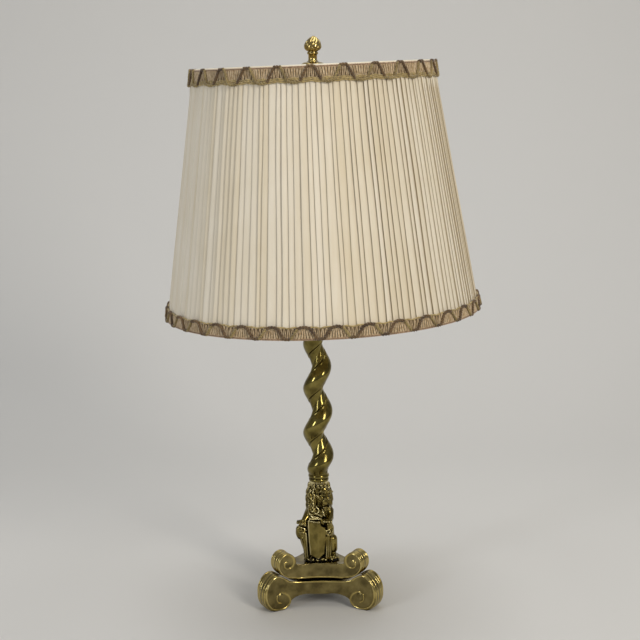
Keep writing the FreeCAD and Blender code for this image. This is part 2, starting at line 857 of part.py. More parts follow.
def lampholder(side, word):
    """Cap, insulating core, centre contact, threaded sleeve, shell and ring of one lampholder."""
    x = s.light_offset * side
    wall = s.holder_wall
    inner = s.holder_radius - wall
    hole = s.arm_radius + s.seat_gap
    cap = turned(
        f"holder_cap_{word}",
        [
            (hole, 0),
            (s.holder_radius * 0.6, 0),
            0.18,
            (s.holder_radius, s.holder_cap_height),
            (inner, s.holder_cap_height),
            -0.18,
            (s.holder_radius * 0.6 - wall, wall),
            (hole, wall),
        ],
        x=x,
        z=z_holder,
    )
    keep(cap, f"holder_cap_{word}")
    floor = s.core_floor_height
    top = s.holder_shell_height - s.contact_height
    wire_hole = s.contact_radius * 0.5
    core = turned(
        f"core_{word}_turned",
        [
            (wire_hole, 0),
            (inner - s.seat_gap, 0),
            (inner - s.seat_gap, floor),
            (s.core_radius, floor),
            (s.core_radius, top),
            (s.core_bore_radius, top),
            (s.core_bore_radius, floor),
            (wire_hole, floor),
        ],
        x=x,
        z=z_shell,
    )
    shell = turned(
        f"shell_{word}_turned",
        [
            (inner, 0),
            (s.holder_radius, 0),
            (s.holder_radius, s.holder_shell_height),
            (inner, s.holder_shell_height),
        ],
        x=x,
        z=z_shell,
    )
    z_key = z_shell + s.key_rise
    for name, blank in (("holder_core", core), ("holder_shell", shell)):
        reach = s.holder_radius + s.overrun
        bore = s.key_radius + s.running_gap
        start = inner - s.seat_gap - s.key_depth - s.body_gap
        pin = add("Part::Cylinder", f"{name}_{word}_key_hole", Radius=bore, Height=reach - start)
        pin.Placement.Rotation = Rotation(Vector(0, 1, 0), 90.0 * side)
        place(pin, x=x + start * side, z=z_key)
        keep(cut(f"{name}_{word}", blank, pin), f"{name}_{word}")
    contact = add("Part::Cylinder", f"holder_contact_{word}", Radius=s.contact_radius, Height=s.contact_height)
    keep(place(contact, x=x, z=z_core_floor), f"holder_contact_{word}")
    sleeve_outer = s.core_bore_radius - s.seat_gap
    sleeve = turned(
        f"holder_sleeve_{word}",
        [
            (sleeve_outer - s.sleeve_wall, 0),
            (sleeve_outer, 0),
            (sleeve_outer, top - floor),
            (sleeve_outer - s.sleeve_wall, top - floor),
        ],
        x=x,
        z=z_core_floor,
    )
    keep(sleeve, f"holder_sleeve_{word}")
    ring_inner = s.holder_radius + s.seat_gap
    ring = turned(
        f"holder_ring_{word}",
        [
            (ring_inner, 0),
            (ring_inner + s.ring_width, 0),
            0.12,
            (ring_inner + s.ring_width, s.ring_height),
            (ring_inner, s.ring_height),
        ],
        x=x,
        z=z_shell + s.holder_shell_height - s.ring_drop,
    )
    keep(ring, f"holder_ring_{word}")


def switch_key(side, word):
    """Turn-key of the switch: a thin spindle with a flat paddle."""
    start = s.holder_radius - s.holder_wall - s.seat_gap - s.key_depth
    spindle_end = s.holder_radius + s.key_reach
    spindle = add("Part::Cylinder", f"key_spindle_{word}", Radius=s.key_radius, Height=spindle_end - start)
    spindle.Placement.Rotation = Rotation(Vector(0, 1, 0), 90.0 * side)
    place(spindle, x=(s.light_offset + start) * side, z=z_shell + s.key_rise)
    paddle = doc.addObject("Part::Feature", f"key_paddle_{word}")
    oval = Part.Ellipse(Vector(0, 0, 0), float(s.key_paddle_height) / 2.0, float(s.key_paddle_length) / 2.0)
    blank = Part.Face(Part.Wire([oval.toShape()]))
    thick = float(s.key_paddle_thickness)
    blank.translate(Vector(0, 0, -thick / 2.0))
    solid = blank.extrude(Vector(0, 0, thick))
    solid.rotate(Vector(0, 0, 0), Vector(0, 0, 1), 90)
    solid.rotate(Vector(0, 0, 0), Vector(1, 0, 0), 90)
    paddle.Shape = solid
    place(paddle, x=(s.light_offset + spindle_end) * side, z=z_shell + s.key_rise)
    return keep(fuse(f"key_{word}", spindle, paddle), f"key_{word}")


def bulb(side, word):
    """Screw cap and pear-shaped glass envelope."""
    x = s.light_offset * side
    cap = turned(
        f"bulb_cap_{word}",
        [
            (0, 0),
            (s.bulb_tip_radius, 0),
            (s.bulb_tip_radius, s.bulb_cap_height * 0.1),
            (s.bulb_cap_radius, s.bulb_cap_height * 0.25),
            (s.bulb_cap_radius, s.bulb_cap_height),
            (0, s.bulb_cap_height),
        ],
        x=x,
        z=z_bulb_tip,
    )
    keep(cap, f"bulb_cap_{word}")
    neck = s.bulb_cap_radius * 0.95
    wall = s.bulb_wall
    crown = s.bulb_crown_radius
    glass = turned(
        f"bulb_glass_{word}",
        [
            (neck - wall, 0),
            (neck, 0),
            -0.06,
            (s.bulb_radius, s.bulb_widest_height),
            0.2,
            (crown, s.bulb_glass_height),
            (0, s.bulb_glass_height),
            (0, s.bulb_glass_height - wall),
            (crown, s.bulb_glass_height - wall),
            -0.2,
            (s.bulb_radius - wall, s.bulb_widest_height),
            0.06,
        ],
        x=x,
        z=z_glass,
    )
    keep(glass, f"bulb_glass_{word}")


def centre_rod():
    """Rod from the cluster to the shade, with a shoulder under the rest and a thinner stud for the finial."""
    low = z_cluster_top - s.rod_insert
    body = turned(
        "centre_rod",
        [
            (0, 0),
            (s.rod_radius, 0),
            (s.rod_radius, z_rest - low),
            (s.stud_radius, z_rest - low),
            (s.stud_radius, z_rest - low + s.stud_length),
            (0, z_rest - low + s.stud_length),
        ],
        z=low,
    )
    return keep(body, "centre_rod")


def shade_rest():
    """Collar on the rod's shoulder that the spider hub sits on."""
    hole = s.stud_radius + s.seat_gap
    body = turned(
        "shade_rest",
        [
            (hole, 0),
            (s.rod_radius, 0),
            -0.15,
            (s.rest_radius, s.rest_height * 0.5),
            (s.rest_radius, s.rest_height),
            (hole, s.rest_height),
        ],
        z=z_rest,
    )
    return keep(body, "shade_rest")


def spider_hub():
    hole = s.stud_radius + s.running_gap
    body = turned(
        "spider_hub",
        [(hole, 0), (s.hub_radius, 0), (s.hub_radius, s.hub_height), (hole, s.hub_height)],
        z=z_hub,
    )
    return keep(body, "spider_hub")


def saucer():
    """Shallow domed washer between the hub and the finial."""
    hole = s.stud_radius + s.running_gap
    body = turned(
        "saucer",
        [
            (hole, 0),
            (s.saucer_radius, 0),
            0.3,
            (s.saucer_radius, s.saucer_edge),
            0.1,
            (s.stem_foot_radius, s.saucer_height),
            (hole, s.saucer_height),
        ],
        z=z_saucer,
    )
    return keep(body, "saucer")


def finial():
    """Stem with a flared foot, a small ring and a pointed bud, bored from below for the stud."""
    z_ring = s.stem_height
    z_bud = z_ring + s.finial_ring_height
    z_point = z_bud + s.bud_height
    hole = s.stud_radius + s.running_gap
    body = turned(
        "finial",
        [
            (hole, 0),
            (s.stem_foot_radius, 0),
            -0.2,
            (s.stem_radius, s.stem_height * 0.35),
            (s.stem_radius, z_ring),
            (s.finial_ring_radius, z_ring),
            0.3,
            (s.finial_ring_radius, z_bud),
            (s.stem_radius, z_bud),
            0.18,
            (s.bud_radius, z_bud + s.bud_widest_height),
            0.16,
            (s.bud_radius * 0.35, z_bud + s.bud_height * 0.85),
            -0.08,
            (s.finial_tip_radius, z_point),
            (0, z_point),
            (0, s.finial_bore_depth),
            (hole, s.finial_bore_depth),
        ],
        z=z_finial,
    )
    return keep(body, "finial")


slope = (s.shade_bottom_radius - s.shade_top_radius) / s.shade_height
z_bottom_rim = s.rim_height - s.shade_height
cover_inset = s.pleat_depth + s.pleat_backing
frame_inset = cover_inset + s.wire_radius + s.seat_gap
lining_inset = frame_inset + s.wire_radius + s.seat_gap


def cone_radius(z, inset):
    """Radius of the shade's side at a height, drawn in by an inset."""
    return s.shade_top_radius + slope * (s.rim_height - z) - inset


def lean(thing, z=0):
    """Lean a piece of the shade, made at a height on the axis, about the middle of its top rim."""
    angle = -s.shade_lean
    thing.Placement.Rotation = Rotation(Vector(0, 1, 0), angle.value)
    thing.setExpression(".Placement.Rotation.Angle", angle.text)
    drop = s.rim_height - z
    tilt = f"({angle.text} * 1 deg)"
    across = drop * Size(-sine(angle.value), f"(-1 * sin{tilt})")
    down = drop * Size(cosine(angle.value), f"cos{tilt}")
    return place(thing, x=across, z=s.rim_height - down)


def cone_shell(name, low, high, inset, wall):
    """A band of the shade's cone between two heights, from an inset inwards by its wall."""
    bands = []
    for word, depth in (("outer", inset), ("inner", inset + wall)):
        band = add("Part::Cone", f"{name}_{word}", Height=high - low)
        bind(band, "Radius1", cone_radius(low, depth))
        bind(band, "Radius2", cone_radius(high, depth))
        place(band, z=low)
        bands.append(band)
    return cut(name, *bands)


# Knife pleat: where its fold lies between two peaks
FOLD_SHARE = 0.78


def rim_polygon(z, teeth):
    """A closed many-cornered ring at a height; teeth lists the (share of a pleat, inset) of its corners."""
    points = []
    for i in range(PLEATS):
        for share, inset in teeth:
            radius = float(cone_radius(Size(z), inset))
            degrees = 360.0 * (i + share) / PLEATS
            points.append(Vector(radius * cosine(degrees), radius * sine(degrees), z))
    return Part.makePolygon(points + points[:1])


def pleated_cover():
    """Knife-pleated cloth: a ruled loft between two toothed rims, hollow inside its flat backing."""
    heights = (float(z_bottom_rim), float(s.rim_height))
    outer = ((0.0, Size(0)), (FOLD_SHARE, s.pleat_depth))
    inner = ((0.0, cover_inset),)
    cloth, hollow = [Part.makeLoft([rim_polygon(z, teeth) for z in heights], True, True) for teeth in (outer, inner)]
    whole = feature("pleated_cover", cloth.cut(hollow))
    return lean(keep(whole, "pleated_cover"))


def shade_frame():
    """Wire rings, upright struts and spider arms."""
    z_top = s.rim_height - s.wire_radius
    z_low = z_bottom_rim + s.wire_radius
    for word, z in (("top", z_top), ("bottom", z_low)):
        ring = add("Part::Torus", f"{word}_ring", Radius1=cone_radius(z, frame_inset), Radius2=s.wire_radius)
        lean(keep(ring, f"{word}_ring"), z)
    rods = []
    bottom = Vector(float(cone_radius(z_low, frame_inset)), 0, float(z_low))
    top = Vector(float(cone_radius(z_top, frame_inset)), 0, float(z_top))
    way = (top - bottom).normalize()
    wire = float(s.wire_radius)
    clear = wire + float(s.seat_gap)
    for i in range(STRUTS):
        rod = Part.makeCylinder(wire, (top - bottom).Length - 2.0 * clear, bottom + way * clear, way)
        rod.rotate(Vector(0, 0, 0), Vector(0, 0, 1), 360.0 * (i + 0.5) / STRUTS)
        rods.append(rod)
    lean(keep(feature("struts", Part.makeCompound(rods)), "struts"))
    arms = []
    start = float(s.hub_radius) + float(s.seat_gap)
    end = top.x - clear
    for degrees in SPIDER_DEGREES:
        out = Vector(cosine(degrees), sine(degrees), 0)
        arms.append(Part.makeCylinder(wire, end - start, out * start + Vector(0, 0, top.z), out))
    lean(keep(feature("spider_arms", Part.makeCompound(arms)), "spider_arms"))


def shade_cloth():
    """Lining inside the frame and a braid round each rim of the cover."""
    z_lining_top = s.rim_height - s.wire_radius * 2.0 - s.body_gap
    lining = cone_shell("lining", z_bottom_rim, z_lining_top, lining_inset, s.lining_wall)
    lean(keep(lining, "lining"))
    out = -(s.braid_thickness + s.seat_gap)
    high = s.rim_height + s.braid_overhang
    low = z_bottom_rim - s.braid_overhang
    for word, bottom, top in (("top", high - s.braid_height, high), ("bottom", low, low + s.braid_height)):
        lean(keep(cone_shell(f"{word}_braid", bottom, top, out, s.braid_thickness), f"{word}_braid"))


def check(things):
    """Stop unless every object is up to date and every sub-part is a sound shape."""
    for thing in doc.Objects:
        if "Invalid" in thing.State or "Error" in thing.State:
            raise RuntimeError(f"{thing.Label} failed: {thing.State}")
    for label, thing in things.items():
        if thing.Shape.isNull() or not thing.Shape.isValid():
            raise RuntimeError(f"{label} has no sound shape")
        if not thing.Shape.Solids:
            raise RuntimeError(f"{label} has no solid")


base_lower()
base_upper()
lion()
collar()
twist_column()
column_cap()
lamp_pipe()
bottom_fixings()
cord_bush()
cluster_body()
for side, word in ((-1, "left"), (1, "right")):
    arm(side, word)
    lampholder(side, word)
    switch_key(side, word)
    bulb(side, word)
centre_rod()
shade_rest()
spider_hub()
saucer()
finial()
pleated_cover()
shade_frame()
shade_cloth()

doc.recompute()
check(made)
os.makedirs("parts", exist_ok=True)
for label, thing in made.items():
    thing.Shape.exportStep(f"parts/{label}.step")
    print(f"{label}: {len(thing.Shape.Solids)} solid(s), {thing.Shape.Volume / 1000.0:.1f} cm3")
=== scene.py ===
"""Looks of an electric table lamp: a cast scroll base, a seated lion, a barley twist and a pleated shade.

Lengths are metres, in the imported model's own frame; MM turns millimetres into metres. Every sub-assembly is
a class that takes its place from the frame, builds its meshes and dresses them in one of the finishes.
"""

import logging
import math
import random
from dataclasses import dataclass
from enum import Enum

import bmesh
import bpy
from mathutils import Matrix, Vector, noise
from mathutils.bvhtree import BVHTree


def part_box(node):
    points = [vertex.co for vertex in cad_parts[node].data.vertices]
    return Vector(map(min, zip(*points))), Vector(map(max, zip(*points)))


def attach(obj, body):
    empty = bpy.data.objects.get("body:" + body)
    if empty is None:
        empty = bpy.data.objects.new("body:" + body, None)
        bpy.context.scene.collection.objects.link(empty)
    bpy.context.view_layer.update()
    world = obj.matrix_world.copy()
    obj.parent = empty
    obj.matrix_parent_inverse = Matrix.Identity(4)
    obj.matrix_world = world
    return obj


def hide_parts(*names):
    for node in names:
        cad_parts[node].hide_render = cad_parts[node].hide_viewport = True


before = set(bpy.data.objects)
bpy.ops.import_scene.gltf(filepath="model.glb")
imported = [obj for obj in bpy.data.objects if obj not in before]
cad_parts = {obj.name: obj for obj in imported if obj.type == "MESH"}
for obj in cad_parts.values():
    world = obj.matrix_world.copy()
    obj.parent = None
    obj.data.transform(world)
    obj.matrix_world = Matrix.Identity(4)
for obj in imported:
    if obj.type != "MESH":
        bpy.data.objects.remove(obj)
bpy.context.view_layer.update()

MM = 0.001
TURN = 2.0 * math.pi
WELD = 0.002 * MM
log = logging.getLogger("lamp")


def linear(colour: str) -> tuple[float, float, float, float]:
    """Turn an sRGB hex colour such as "#C0A050" into linear RGBA."""
    parts = [int(colour[i : i + 2], 16) / 255.0 for i in (1, 3, 5)]
    return tuple(((c + 0.055) / 1.055) ** 2.4 if c > 0.04045 else c / 12.92 for c in parts) + (1.0,)


def add_node(tree: bpy.types.NodeTree, kind: str, inputs: dict | None = None, **settings) -> bpy.types.Node:
    """Add a node with its settings and links.

    Args:
        tree: the node tree that it joins.
        kind: the node's type, such as "ShaderNodeMix".
        inputs: a value or another node's socket for each named or numbered input.
        settings: attributes of the node. stops sets a colour ramp's (place, colour) pairs.

    Returns:
        The new node.
    """
    node = tree.nodes.new(kind)
    for place, (at, colour) in enumerate(settings.pop("stops", ())):
        stops = node.color_ramp.elements
        stop = stops[place] if place < len(stops) else stops.new(at)
        stop.position, stop.color = at, colour
    for name, value in settings.items():
        setattr(node, name, value)
    for name, value in (inputs or {}).items():
        if isinstance(value, bpy.types.NodeSocket):
            tree.links.new(value, node.inputs[name])
        else:
            node.inputs[name].default_value = value
    return node


class Body(Enum):
    """The bodies that pieces ride on."""

    ROOT = "root"
    SHADE = "shade"
    FINIAL = "finial"


@dataclass(frozen=True)
class Finish:
    """A procedural material, named for what the real one is and how its surface was made."""

    name: str

    def shade(self, tree: bpy.types.NodeTree) -> bpy.types.Node:
        """Add the finish's nodes to a tree and return its shader."""
        raise NotImplementedError

    def material(self) -> bpy.types.Material:
        """Return the finish's material, made at its first use."""
        known = bpy.data.materials.get(self.name)
        if known:
            return known
        made = bpy.data.materials.new(self.name)
        made.use_nodes = True
        made.node_tree.nodes.clear()
        shader = self.shade(made.node_tree)
        add_node(made.node_tree, "ShaderNodeOutputMaterial", {"Surface": shader.outputs[0]})
        return made


@dataclass(frozen=True)
class Brass(Finish):
    """Brass with dark patina and painted shade in its hollows, and rubbed wear with a painted highlight on its
    ridges.

    The eye sees a warm yellow metal, greener and duller where it is aged, with soft uneven reflections.
    """

    rubbed: str = "#C9AE62"
    dull: str = "#8F7B3A"
    # Dark colour of the hollows: patina, and painted shade in recesses and where parts meet.
    patina_and_shade: str = "#2C210D"
    # Pale colour of the ridges: rubbed wear, and a painted highlight.
    rubbed_highlight: str = "#C9B56E"
    hollow_reach: float = 3.0 * MM
    hollow_share: float = 0.85
    hollow_span: tuple[float, float] = (0.9, 0.35)
    hollow_rough: float = 0.35
    ridge_reach: float = 1.4 * MM
    ridge_share: float = 0.7
    smooth: float = 0.16
    rough: float = 0.36
    patch_size: float = 14.0 * MM
    ripple_size: float = 5.0 * MM
    ripple_height: float = 0.10 * MM

    def shade(self, tree: bpy.types.NodeTree) -> bpy.types.Node:
        """Mix rubbed and dull brass by broad patches, lighten the ridges as rubbed wear and painted highlight,
        and darken the hollows with patina and painted shade.
        """
        place = add_node(tree, "ShaderNodeTexCoord").outputs["Object"]
        patches = add_node(
            tree, "ShaderNodeTexNoise", {"Vector": place, "Scale": 1.0 / self.patch_size, "Detail": 4.0}
        )
        worn = add_node(
            tree,
            "ShaderNodeMapRange",
            {"Value": patches.outputs[0], "From Min": 0.35, "From Max": 0.65},
        )
        metal = add_node(
            tree,
            "ShaderNodeMix",
            {"Factor": worn.outputs[0], "A": linear(self.dull), "B": linear(self.rubbed)},
            data_type="RGBA",
        )
        # Patina and painted shade: ambient occlusion darkens the hollows and the places where parts meet.
        nearness = add_node(tree, "ShaderNodeAmbientOcclusion", {"Distance": self.hollow_reach}, samples=8)
        hollow = add_node(
            tree,
            "ShaderNodeMapRange",
            {
                "Value": nearness.outputs["AO"],
                "From Min": self.hollow_span[0],
                "From Max": self.hollow_span[1],
                "To Min": 0.0,
                "To Max": self.hollow_share,
            },
        )
        # Rubbed wear and painted highlight: thin ridges and edges are lightened to a pale brass.
        thinness = add_node(
            tree, "ShaderNodeAmbientOcclusion", {"Distance": self.ridge_reach}, samples=8, inside=True
        )
        ridge = add_node(
            tree,
            "ShaderNodeMapRange",
            {
                "Value": thinness.outputs["AO"],
                "From Min": 0.85,
                "From Max": 0.45,
                "To Min": 0.0,
                "To Max": self.ridge_share,
            },
        )
        metal_with_rubbed_highlight = add_node(
            tree,
            "ShaderNodeMix",
            {"Factor": ridge.outputs[0], "A": metal.outputs["Result"], "B": linear(self.rubbed_highlight)},
            data_type="RGBA",
        )
        colour = add_node(
            tree,
            "ShaderNodeMix",
            {"Factor": hollow.outputs[0], "A": metal_with_rubbed_highlight.outputs["Result"], "B": linear(self.patina_and_shade)},
            data_type="RGBA",
        )
        dullness = add_node(
            tree,
            "ShaderNodeMapRange",
            {
                "Value": patches.outputs[0],
                "From Min": 0.3,
                "From Max": 0.7,
                "To Min": self.rough,
                "To Max": self.smooth,
            },
        )
        gloss = add_node(
            tree,
            "ShaderNodeMath",
            {0: hollow.outputs[0], 1: self.hollow_rough, 2: dullness.outputs[0]},
            operation="MULTIPLY_ADD",
        )
        ripple = add_node(
            tree, "ShaderNodeTexNoise", {"Vector": place, "Scale": 1.0 / self.ripple_size, "Detail": 3.0}
        )
        bump = add_node(
            tree,
            "ShaderNodeBump",
            {"Height": ripple.outputs[0], "Distance": self.ripple_height, "Strength": 1.0},
        )
        return add_node(
            tree,
            "ShaderNodeBsdfPrincipled",
            {
                "Base Color": colour.outputs["Result"],
                "Metallic": 1.0,
                "Roughness": gloss.outputs[0],
                "Normal": bump.outputs[0],
            },
        )


@dataclass(frozen=True)
class PlainMetal(Finish):
    """Sheet or bar metal with a faint grain, such as zinc plated steel or a rolled aluminium cap."""

    colour: str = "#B9B9BA"
    smooth: float = 0.25
    rough: float = 0.45
    metallic: float = 1.0
    grain_size: float = 2.0 * MM

    def shade(self, tree: bpy.types.NodeTree) -> bpy.types.Node:
        """Vary roughness and brightness with a fine grain."""
        place = add_node(tree, "ShaderNodeTexCoord").outputs["Object"]
        grain = add_node(
            tree, "ShaderNodeTexNoise", {"Vector": place, "Scale": 1.0 / self.grain_size, "Detail": 5.0}
        )
        base = linear(self.colour)
        darker = tuple(0.7 * c for c in base[:3]) + (1.0,)
        colour = add_node(
            tree, "ShaderNodeMix", {"Factor": grain.outputs[0], "A": darker, "B": base}, data_type="RGBA"
        )
        gloss = add_node(
            tree,
            "ShaderNodeMapRange",
            {"Value": grain.outputs[0], "To Min": self.rough, "To Max": self.smooth},
        )
        return add_node(
            tree,
            "ShaderNodeBsdfPrincipled",
            {"Base Color": colour.outputs["Result"], "Metallic": self.metallic, "Roughness": gloss.outputs[0]},
        )


@dataclass(frozen=True)
class OpalGlass(Finish):
    """Opal glass of a bulb: milky all through, with a clear gloss on top."""

    colour: str = "#F2F1EA"

    def shade(self, tree: bpy.types.NodeTree) -> bpy.types.Node:
        """A pale body that lets a little light through under a smooth coat."""
        place = add_node(tree, "ShaderNodeTexCoord").outputs["Object"]
        cloud = add_node(tree, "ShaderNodeTexNoise", {"Vector": place, "Scale": 1.0 / (25.0 * MM)})
        colour = add_node(
            tree,
            "ShaderNodeMix",
            {"Factor": cloud.outputs[0], "A": linear("#E6E4DA"), "B": linear(self.colour)},
            data_type="RGBA",
        )
        return add_node(
            tree,
            "ShaderNodeBsdfPrincipled",
            {
                "Base Color": colour.outputs["Result"],
                "Roughness": 0.28,
                "Coat Weight": 1.0,
                "Coat Roughness": 0.04,
                "IOR": 1.5,
            },
        )


@dataclass(frozen=True)
class Moulded(Finish):
    """A moulded or fired insulator, such as the black cord bush or the porcelain core."""

    colour: str = "#141414"
    roughness: float = 0.45

    def shade(self, tree: bpy.types.NodeTree) -> bpy.types.Node:
        """An even colour with a fine pebbled bump."""
        place = add_node(tree, "ShaderNodeTexCoord").outputs["Object"]
        pebble = add_node(tree, "ShaderNodeTexNoise", {"Vector": place, "Scale": 1.0 / (0.8 * MM)})
        bump = add_node(
            tree, "ShaderNodeBump", {"Height": pebble.outputs[0], "Distance": 0.02 * MM, "Strength": 1.0}
        )
        base = linear(self.colour)
        paler = tuple(min(1.0, 1.15 * c) for c in base[:3]) + (1.0,)
        colour = add_node(
            tree, "ShaderNodeMix", {"Factor": pebble.outputs[0], "A": base, "B": paler}, data_type="RGBA"
        )
        return add_node(
            tree,
            "ShaderNodeBsdfPrincipled",
            {"Base Color": colour.outputs["Result"], "Roughness": self.roughness, "Normal": bump.outputs[0]},
        )


@dataclass(frozen=True)
class Silk(Finish):
    """Pleated silk, cream, gone uneven with age.

    It reads the piece's UV map, in metres along the pleats, and two attributes: tone, a tint for each
    pleat, and the fold shade, how deep a point lies in the folds, by which painted shade darkens it. The slubs
    are drawn coarser than real threads.
    """

    cream: str = "#F3EBDA"
    tan: str = "#E0D2B4"
    # Colour of the folds: painted shade where the pleats lap over one another.
    fold_shade: str = "#8C7A58"
    slub_width: float = 1.7 * MM
    slub_length: float = 60.0 * MM
    stain_size: float = 70.0 * MM

    def shade(self, tree: bpy.types.NodeTree) -> bpy.types.Node:
        """Mix cream and tan by pleat, slub and stain, and paint shade into the folds."""
        along = add_node(tree, "ShaderNodeUVMap", uv_map="cloth").outputs[0]
        stretched = add_node(
            tree,
            "ShaderNodeMapping",
            {"Vector": along, "Scale": (1.0 / self.slub_width, 1.0 / self.slub_length, 1.0)},
        )
        slubs = add_node(
            tree, "ShaderNodeTexNoise", {"Vector": stretched.outputs[0], "Scale": 1.0, "Detail": 3.0}
        )
        place = add_node(tree, "ShaderNodeTexCoord").outputs["Object"]
        stains = add_node(
            tree, "ShaderNodeTexNoise", {"Vector": place, "Scale": 1.0 / self.stain_size, "Detail": 3.0}
        )
        tone = add_node(tree, "ShaderNodeAttribute", attribute_name="tone").outputs["Fac"]
        depth = add_node(tree, "ShaderNodeAttribute", attribute_name="fold_shade").outputs["Fac"]
        mixed = add_node(
            tree, "ShaderNodeMath", {0: slubs.outputs[0], 1: 0.5, 2: tone}, operation="MULTIPLY_ADD"
        )
        mixed = add_node(
            tree,
            "ShaderNodeMath",
            {0: stains.outputs[0], 1: 0.6, 2: mixed.outputs[0]},
            operation="MULTIPLY_ADD",
        )
        share = add_node(
            tree, "ShaderNodeMapRange", {"Value": mixed.outputs[0], "From Min": 0.55, "From Max": 1.45}
        )
        cloth = add_node(
            tree,
            "ShaderNodeMix",
            {"Factor": share.outputs[0], "A": linear(self.cream), "B": linear(self.tan)},
            data_type="RGBA",
        )
        # Painted shade: points deep in the folds are darkened towards the fold colour.
        colour = add_node(
            tree,
            "ShaderNodeMix",
            {"Factor": depth, "A": cloth.outputs["Result"], "B": linear(self.fold_shade)},
            data_type="RGBA",
        )
        bump = add_node(
            tree, "ShaderNodeBump", {"Height": slubs.outputs[0], "Distance": 0.12 * MM, "Strength": 1.0}
        )
        return add_node(
            tree,
            "ShaderNodeBsdfPrincipled",
            {
                "Base Color": colour.outputs["Result"],
                "Roughness": 0.62,
                "Sheen Weight": 0.25,
                "Sheen Roughness": 0.4,
                "Normal": bump.outputs[0],
            },
        )


@dataclass(frozen=True)
class Thread(Finish):
    """Silky yarn of a trimming: matt, with a soft edge sheen and an uneven dye."""

    pale: str = "#B79D82"
    deep: str = "#7C654C"
    tuft_size: float = 3.0 * MM

    def shade(self, tree: bpy.types.NodeTree) -> bpy.types.Node:
        """Mix two shades of the dye by a coarse and a fine noise."""
        place = add_node(tree, "ShaderNodeTexCoord").outputs["Object"]
        dye = add_node(
            tree, "ShaderNodeTexNoise", {"Vector": place, "Scale": 1.0 / self.tuft_size, "Detail": 6.0}
        )
        share = add_node(
            tree, "ShaderNodeMapRange", {"Value": dye.outputs[0], "From Min": 0.3, "From Max": 0.7}
        )
        colour = add_node(
            tree,
            "ShaderNodeMix",
            {"Factor": share.outputs[0], "A": linear(self.deep), "B": linear(self.pale)},
            data_type="RGBA",
        )
        fibre = add_node(
            tree, "ShaderNodeTexNoise", {"Vector": place, "Scale": 1.0 / (0.5 * MM), "Detail": 2.0}
        )
        bump = add_node(
            tree, "ShaderNodeBump", {"Height": fibre.outputs[0], "Distance": 0.15 * MM, "Strength": 1.0}
        )
        return add_node(
            tree,
            "ShaderNodeBsdfPrincipled",
            {
                "Base Color": colour.outputs["Result"],
                "Roughness": 0.7,
                "Sheen Weight": 0.3,
                "Sheen Roughness": 0.5,
                "Normal": bump.outputs[0],
            },
        )


BASE_BRASS = Brass("hand_polished_cast_brass", rubbed="#978959", dull="#685D3B", smooth=0.08, rough=0.17)
# Rims and reeds in a lighter copy of the base brass: rubbed wear and a painted highlight along each raised
# line.
RIM_HIGHLIGHT_BRASS = Brass("rubbed_rim_brass_painted_highlight", rubbed="#DCCB8C", dull="#A9965A", smooth=0.08, rough=0.18)
# Lion brass: deep patina and painted shade in its hollows, and a pale painted highlight on its ridges.
LION_BRASS = Brass(
    "relief_cast_brass_with_patina",
    rubbed="#8E7F48",
    dull="#5C5129",
    patina_and_shade="#140E05",
    rubbed_highlight="#EADCA6",
    hollow_reach=4.5 * MM,
    hollow_share=0.85,
    hollow_span=(0.72, 0.2),
    ridge_reach=2.2 * MM,
    ridge_share=0.85,
    smooth=0.12,
    rough=0.24,
)
TWIST_BRASS = Brass("rubbed_twist_brass", rubbed="#8E8148", dull="#5E532A", smooth=0.1, rough=0.22)
TURNED_BRASS = Brass("turned_lacquered_brass", rubbed="#C2AD70", dull="#93804B", smooth=0.12, rough=0.25)
SPRING_BRASS = Brass("rolled_spring_brass", rubbed="#DDBE78", dull="#C6A660", hollow_share=0.3)
ZINC_STEEL = PlainMetal("zinc_plated_steel")
BULB_CAP = PlainMetal("rolled_aluminium", colour="#C4C5C8")
SHADE_WIRE = PlainMetal("lacquered_iron_wire", colour="#3A3022", metallic=0.4)
PORCELAIN = Moulded("unglazed_porcelain", colour="#E4E1D8", roughness=0.6)
BLACK_BUSH = Moulded("black_moulded_phenolic")
GLASS = OpalGlass("opal_bulb_glass")
COVER_SILK = Silk("knife_pleated_silk")
LINING_CLOTH = Silk("stretched_lining_cloth", cream="#EBE3CE", tan="#D8CCB0")
# The ground strip is darker than the loops' yarn: painted shade in the gaps between the loops.
GROUND_SHADE_YARN = Thread("braid_ground_painted_shade", pale="#7E6A48", deep="#5C4B2E")
LOOP_YARN = Thread("rose_beige_loop_yarn", pale="#E2CCA8", deep="#AE9064")
EDGE_YARN = Thread("rose_brown_edge_yarn", pale="#C3A27F", deep="#8A6A4A")
DARK_CORD = Thread("brown_twisted_cord", pale="#7A5F38", deep="#44301A", tuft_size=11.0 * MM)
OLIVE_CORD = Thread("olive_twisted_cord", pale="#A8935E", deep="#76633A", tuft_size=11.0 * MM)
GOLD_CORD = Thread("gold_twisted_cord", pale="#C9B176", deep="#8B7642")


def dress(node: str, finish: Finish) -> None:
    """Give a CAD node a finish."""
    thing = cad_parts[node]
    thing.data.materials.clear()
    thing.data.materials.append(finish.material())


def piece(
    name: str, mesh: bpy.types.Mesh, finish: Finish, body: Body, replaces: tuple[str, ...] = ()
) -> bpy.types.Object:
    """Show a finished mesh as a piece of the lamp.

    Args:
        name: the piece's name.
        mesh: the mesh, already in its place.
        finish: what it is dressed in.
        body: the body that it rides on.
        replaces: the CAD nodes that it stands for.

    Returns:
        The new object.
    """
    thing = bpy.data.objects.new(name, mesh)
    bpy.context.scene.collection.objects.link(thing)
    mesh.materials.clear()
    mesh.materials.append(finish.material())
    mesh.shade_smooth()
    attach(thing, body.value)
    if replaces:
        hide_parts(*replaces)
    log.info("%s: %d faces on %s", name, len(mesh.polygons), body.value)
    return thing


def stored(shape: bmesh.types.BMesh, name: str) -> bpy.types.Mesh:
    """Store a shape as a mesh and free it."""
    mesh = bpy.data.meshes.new(name)
    shape.to_mesh(mesh)
    shape.free()
    return mesh


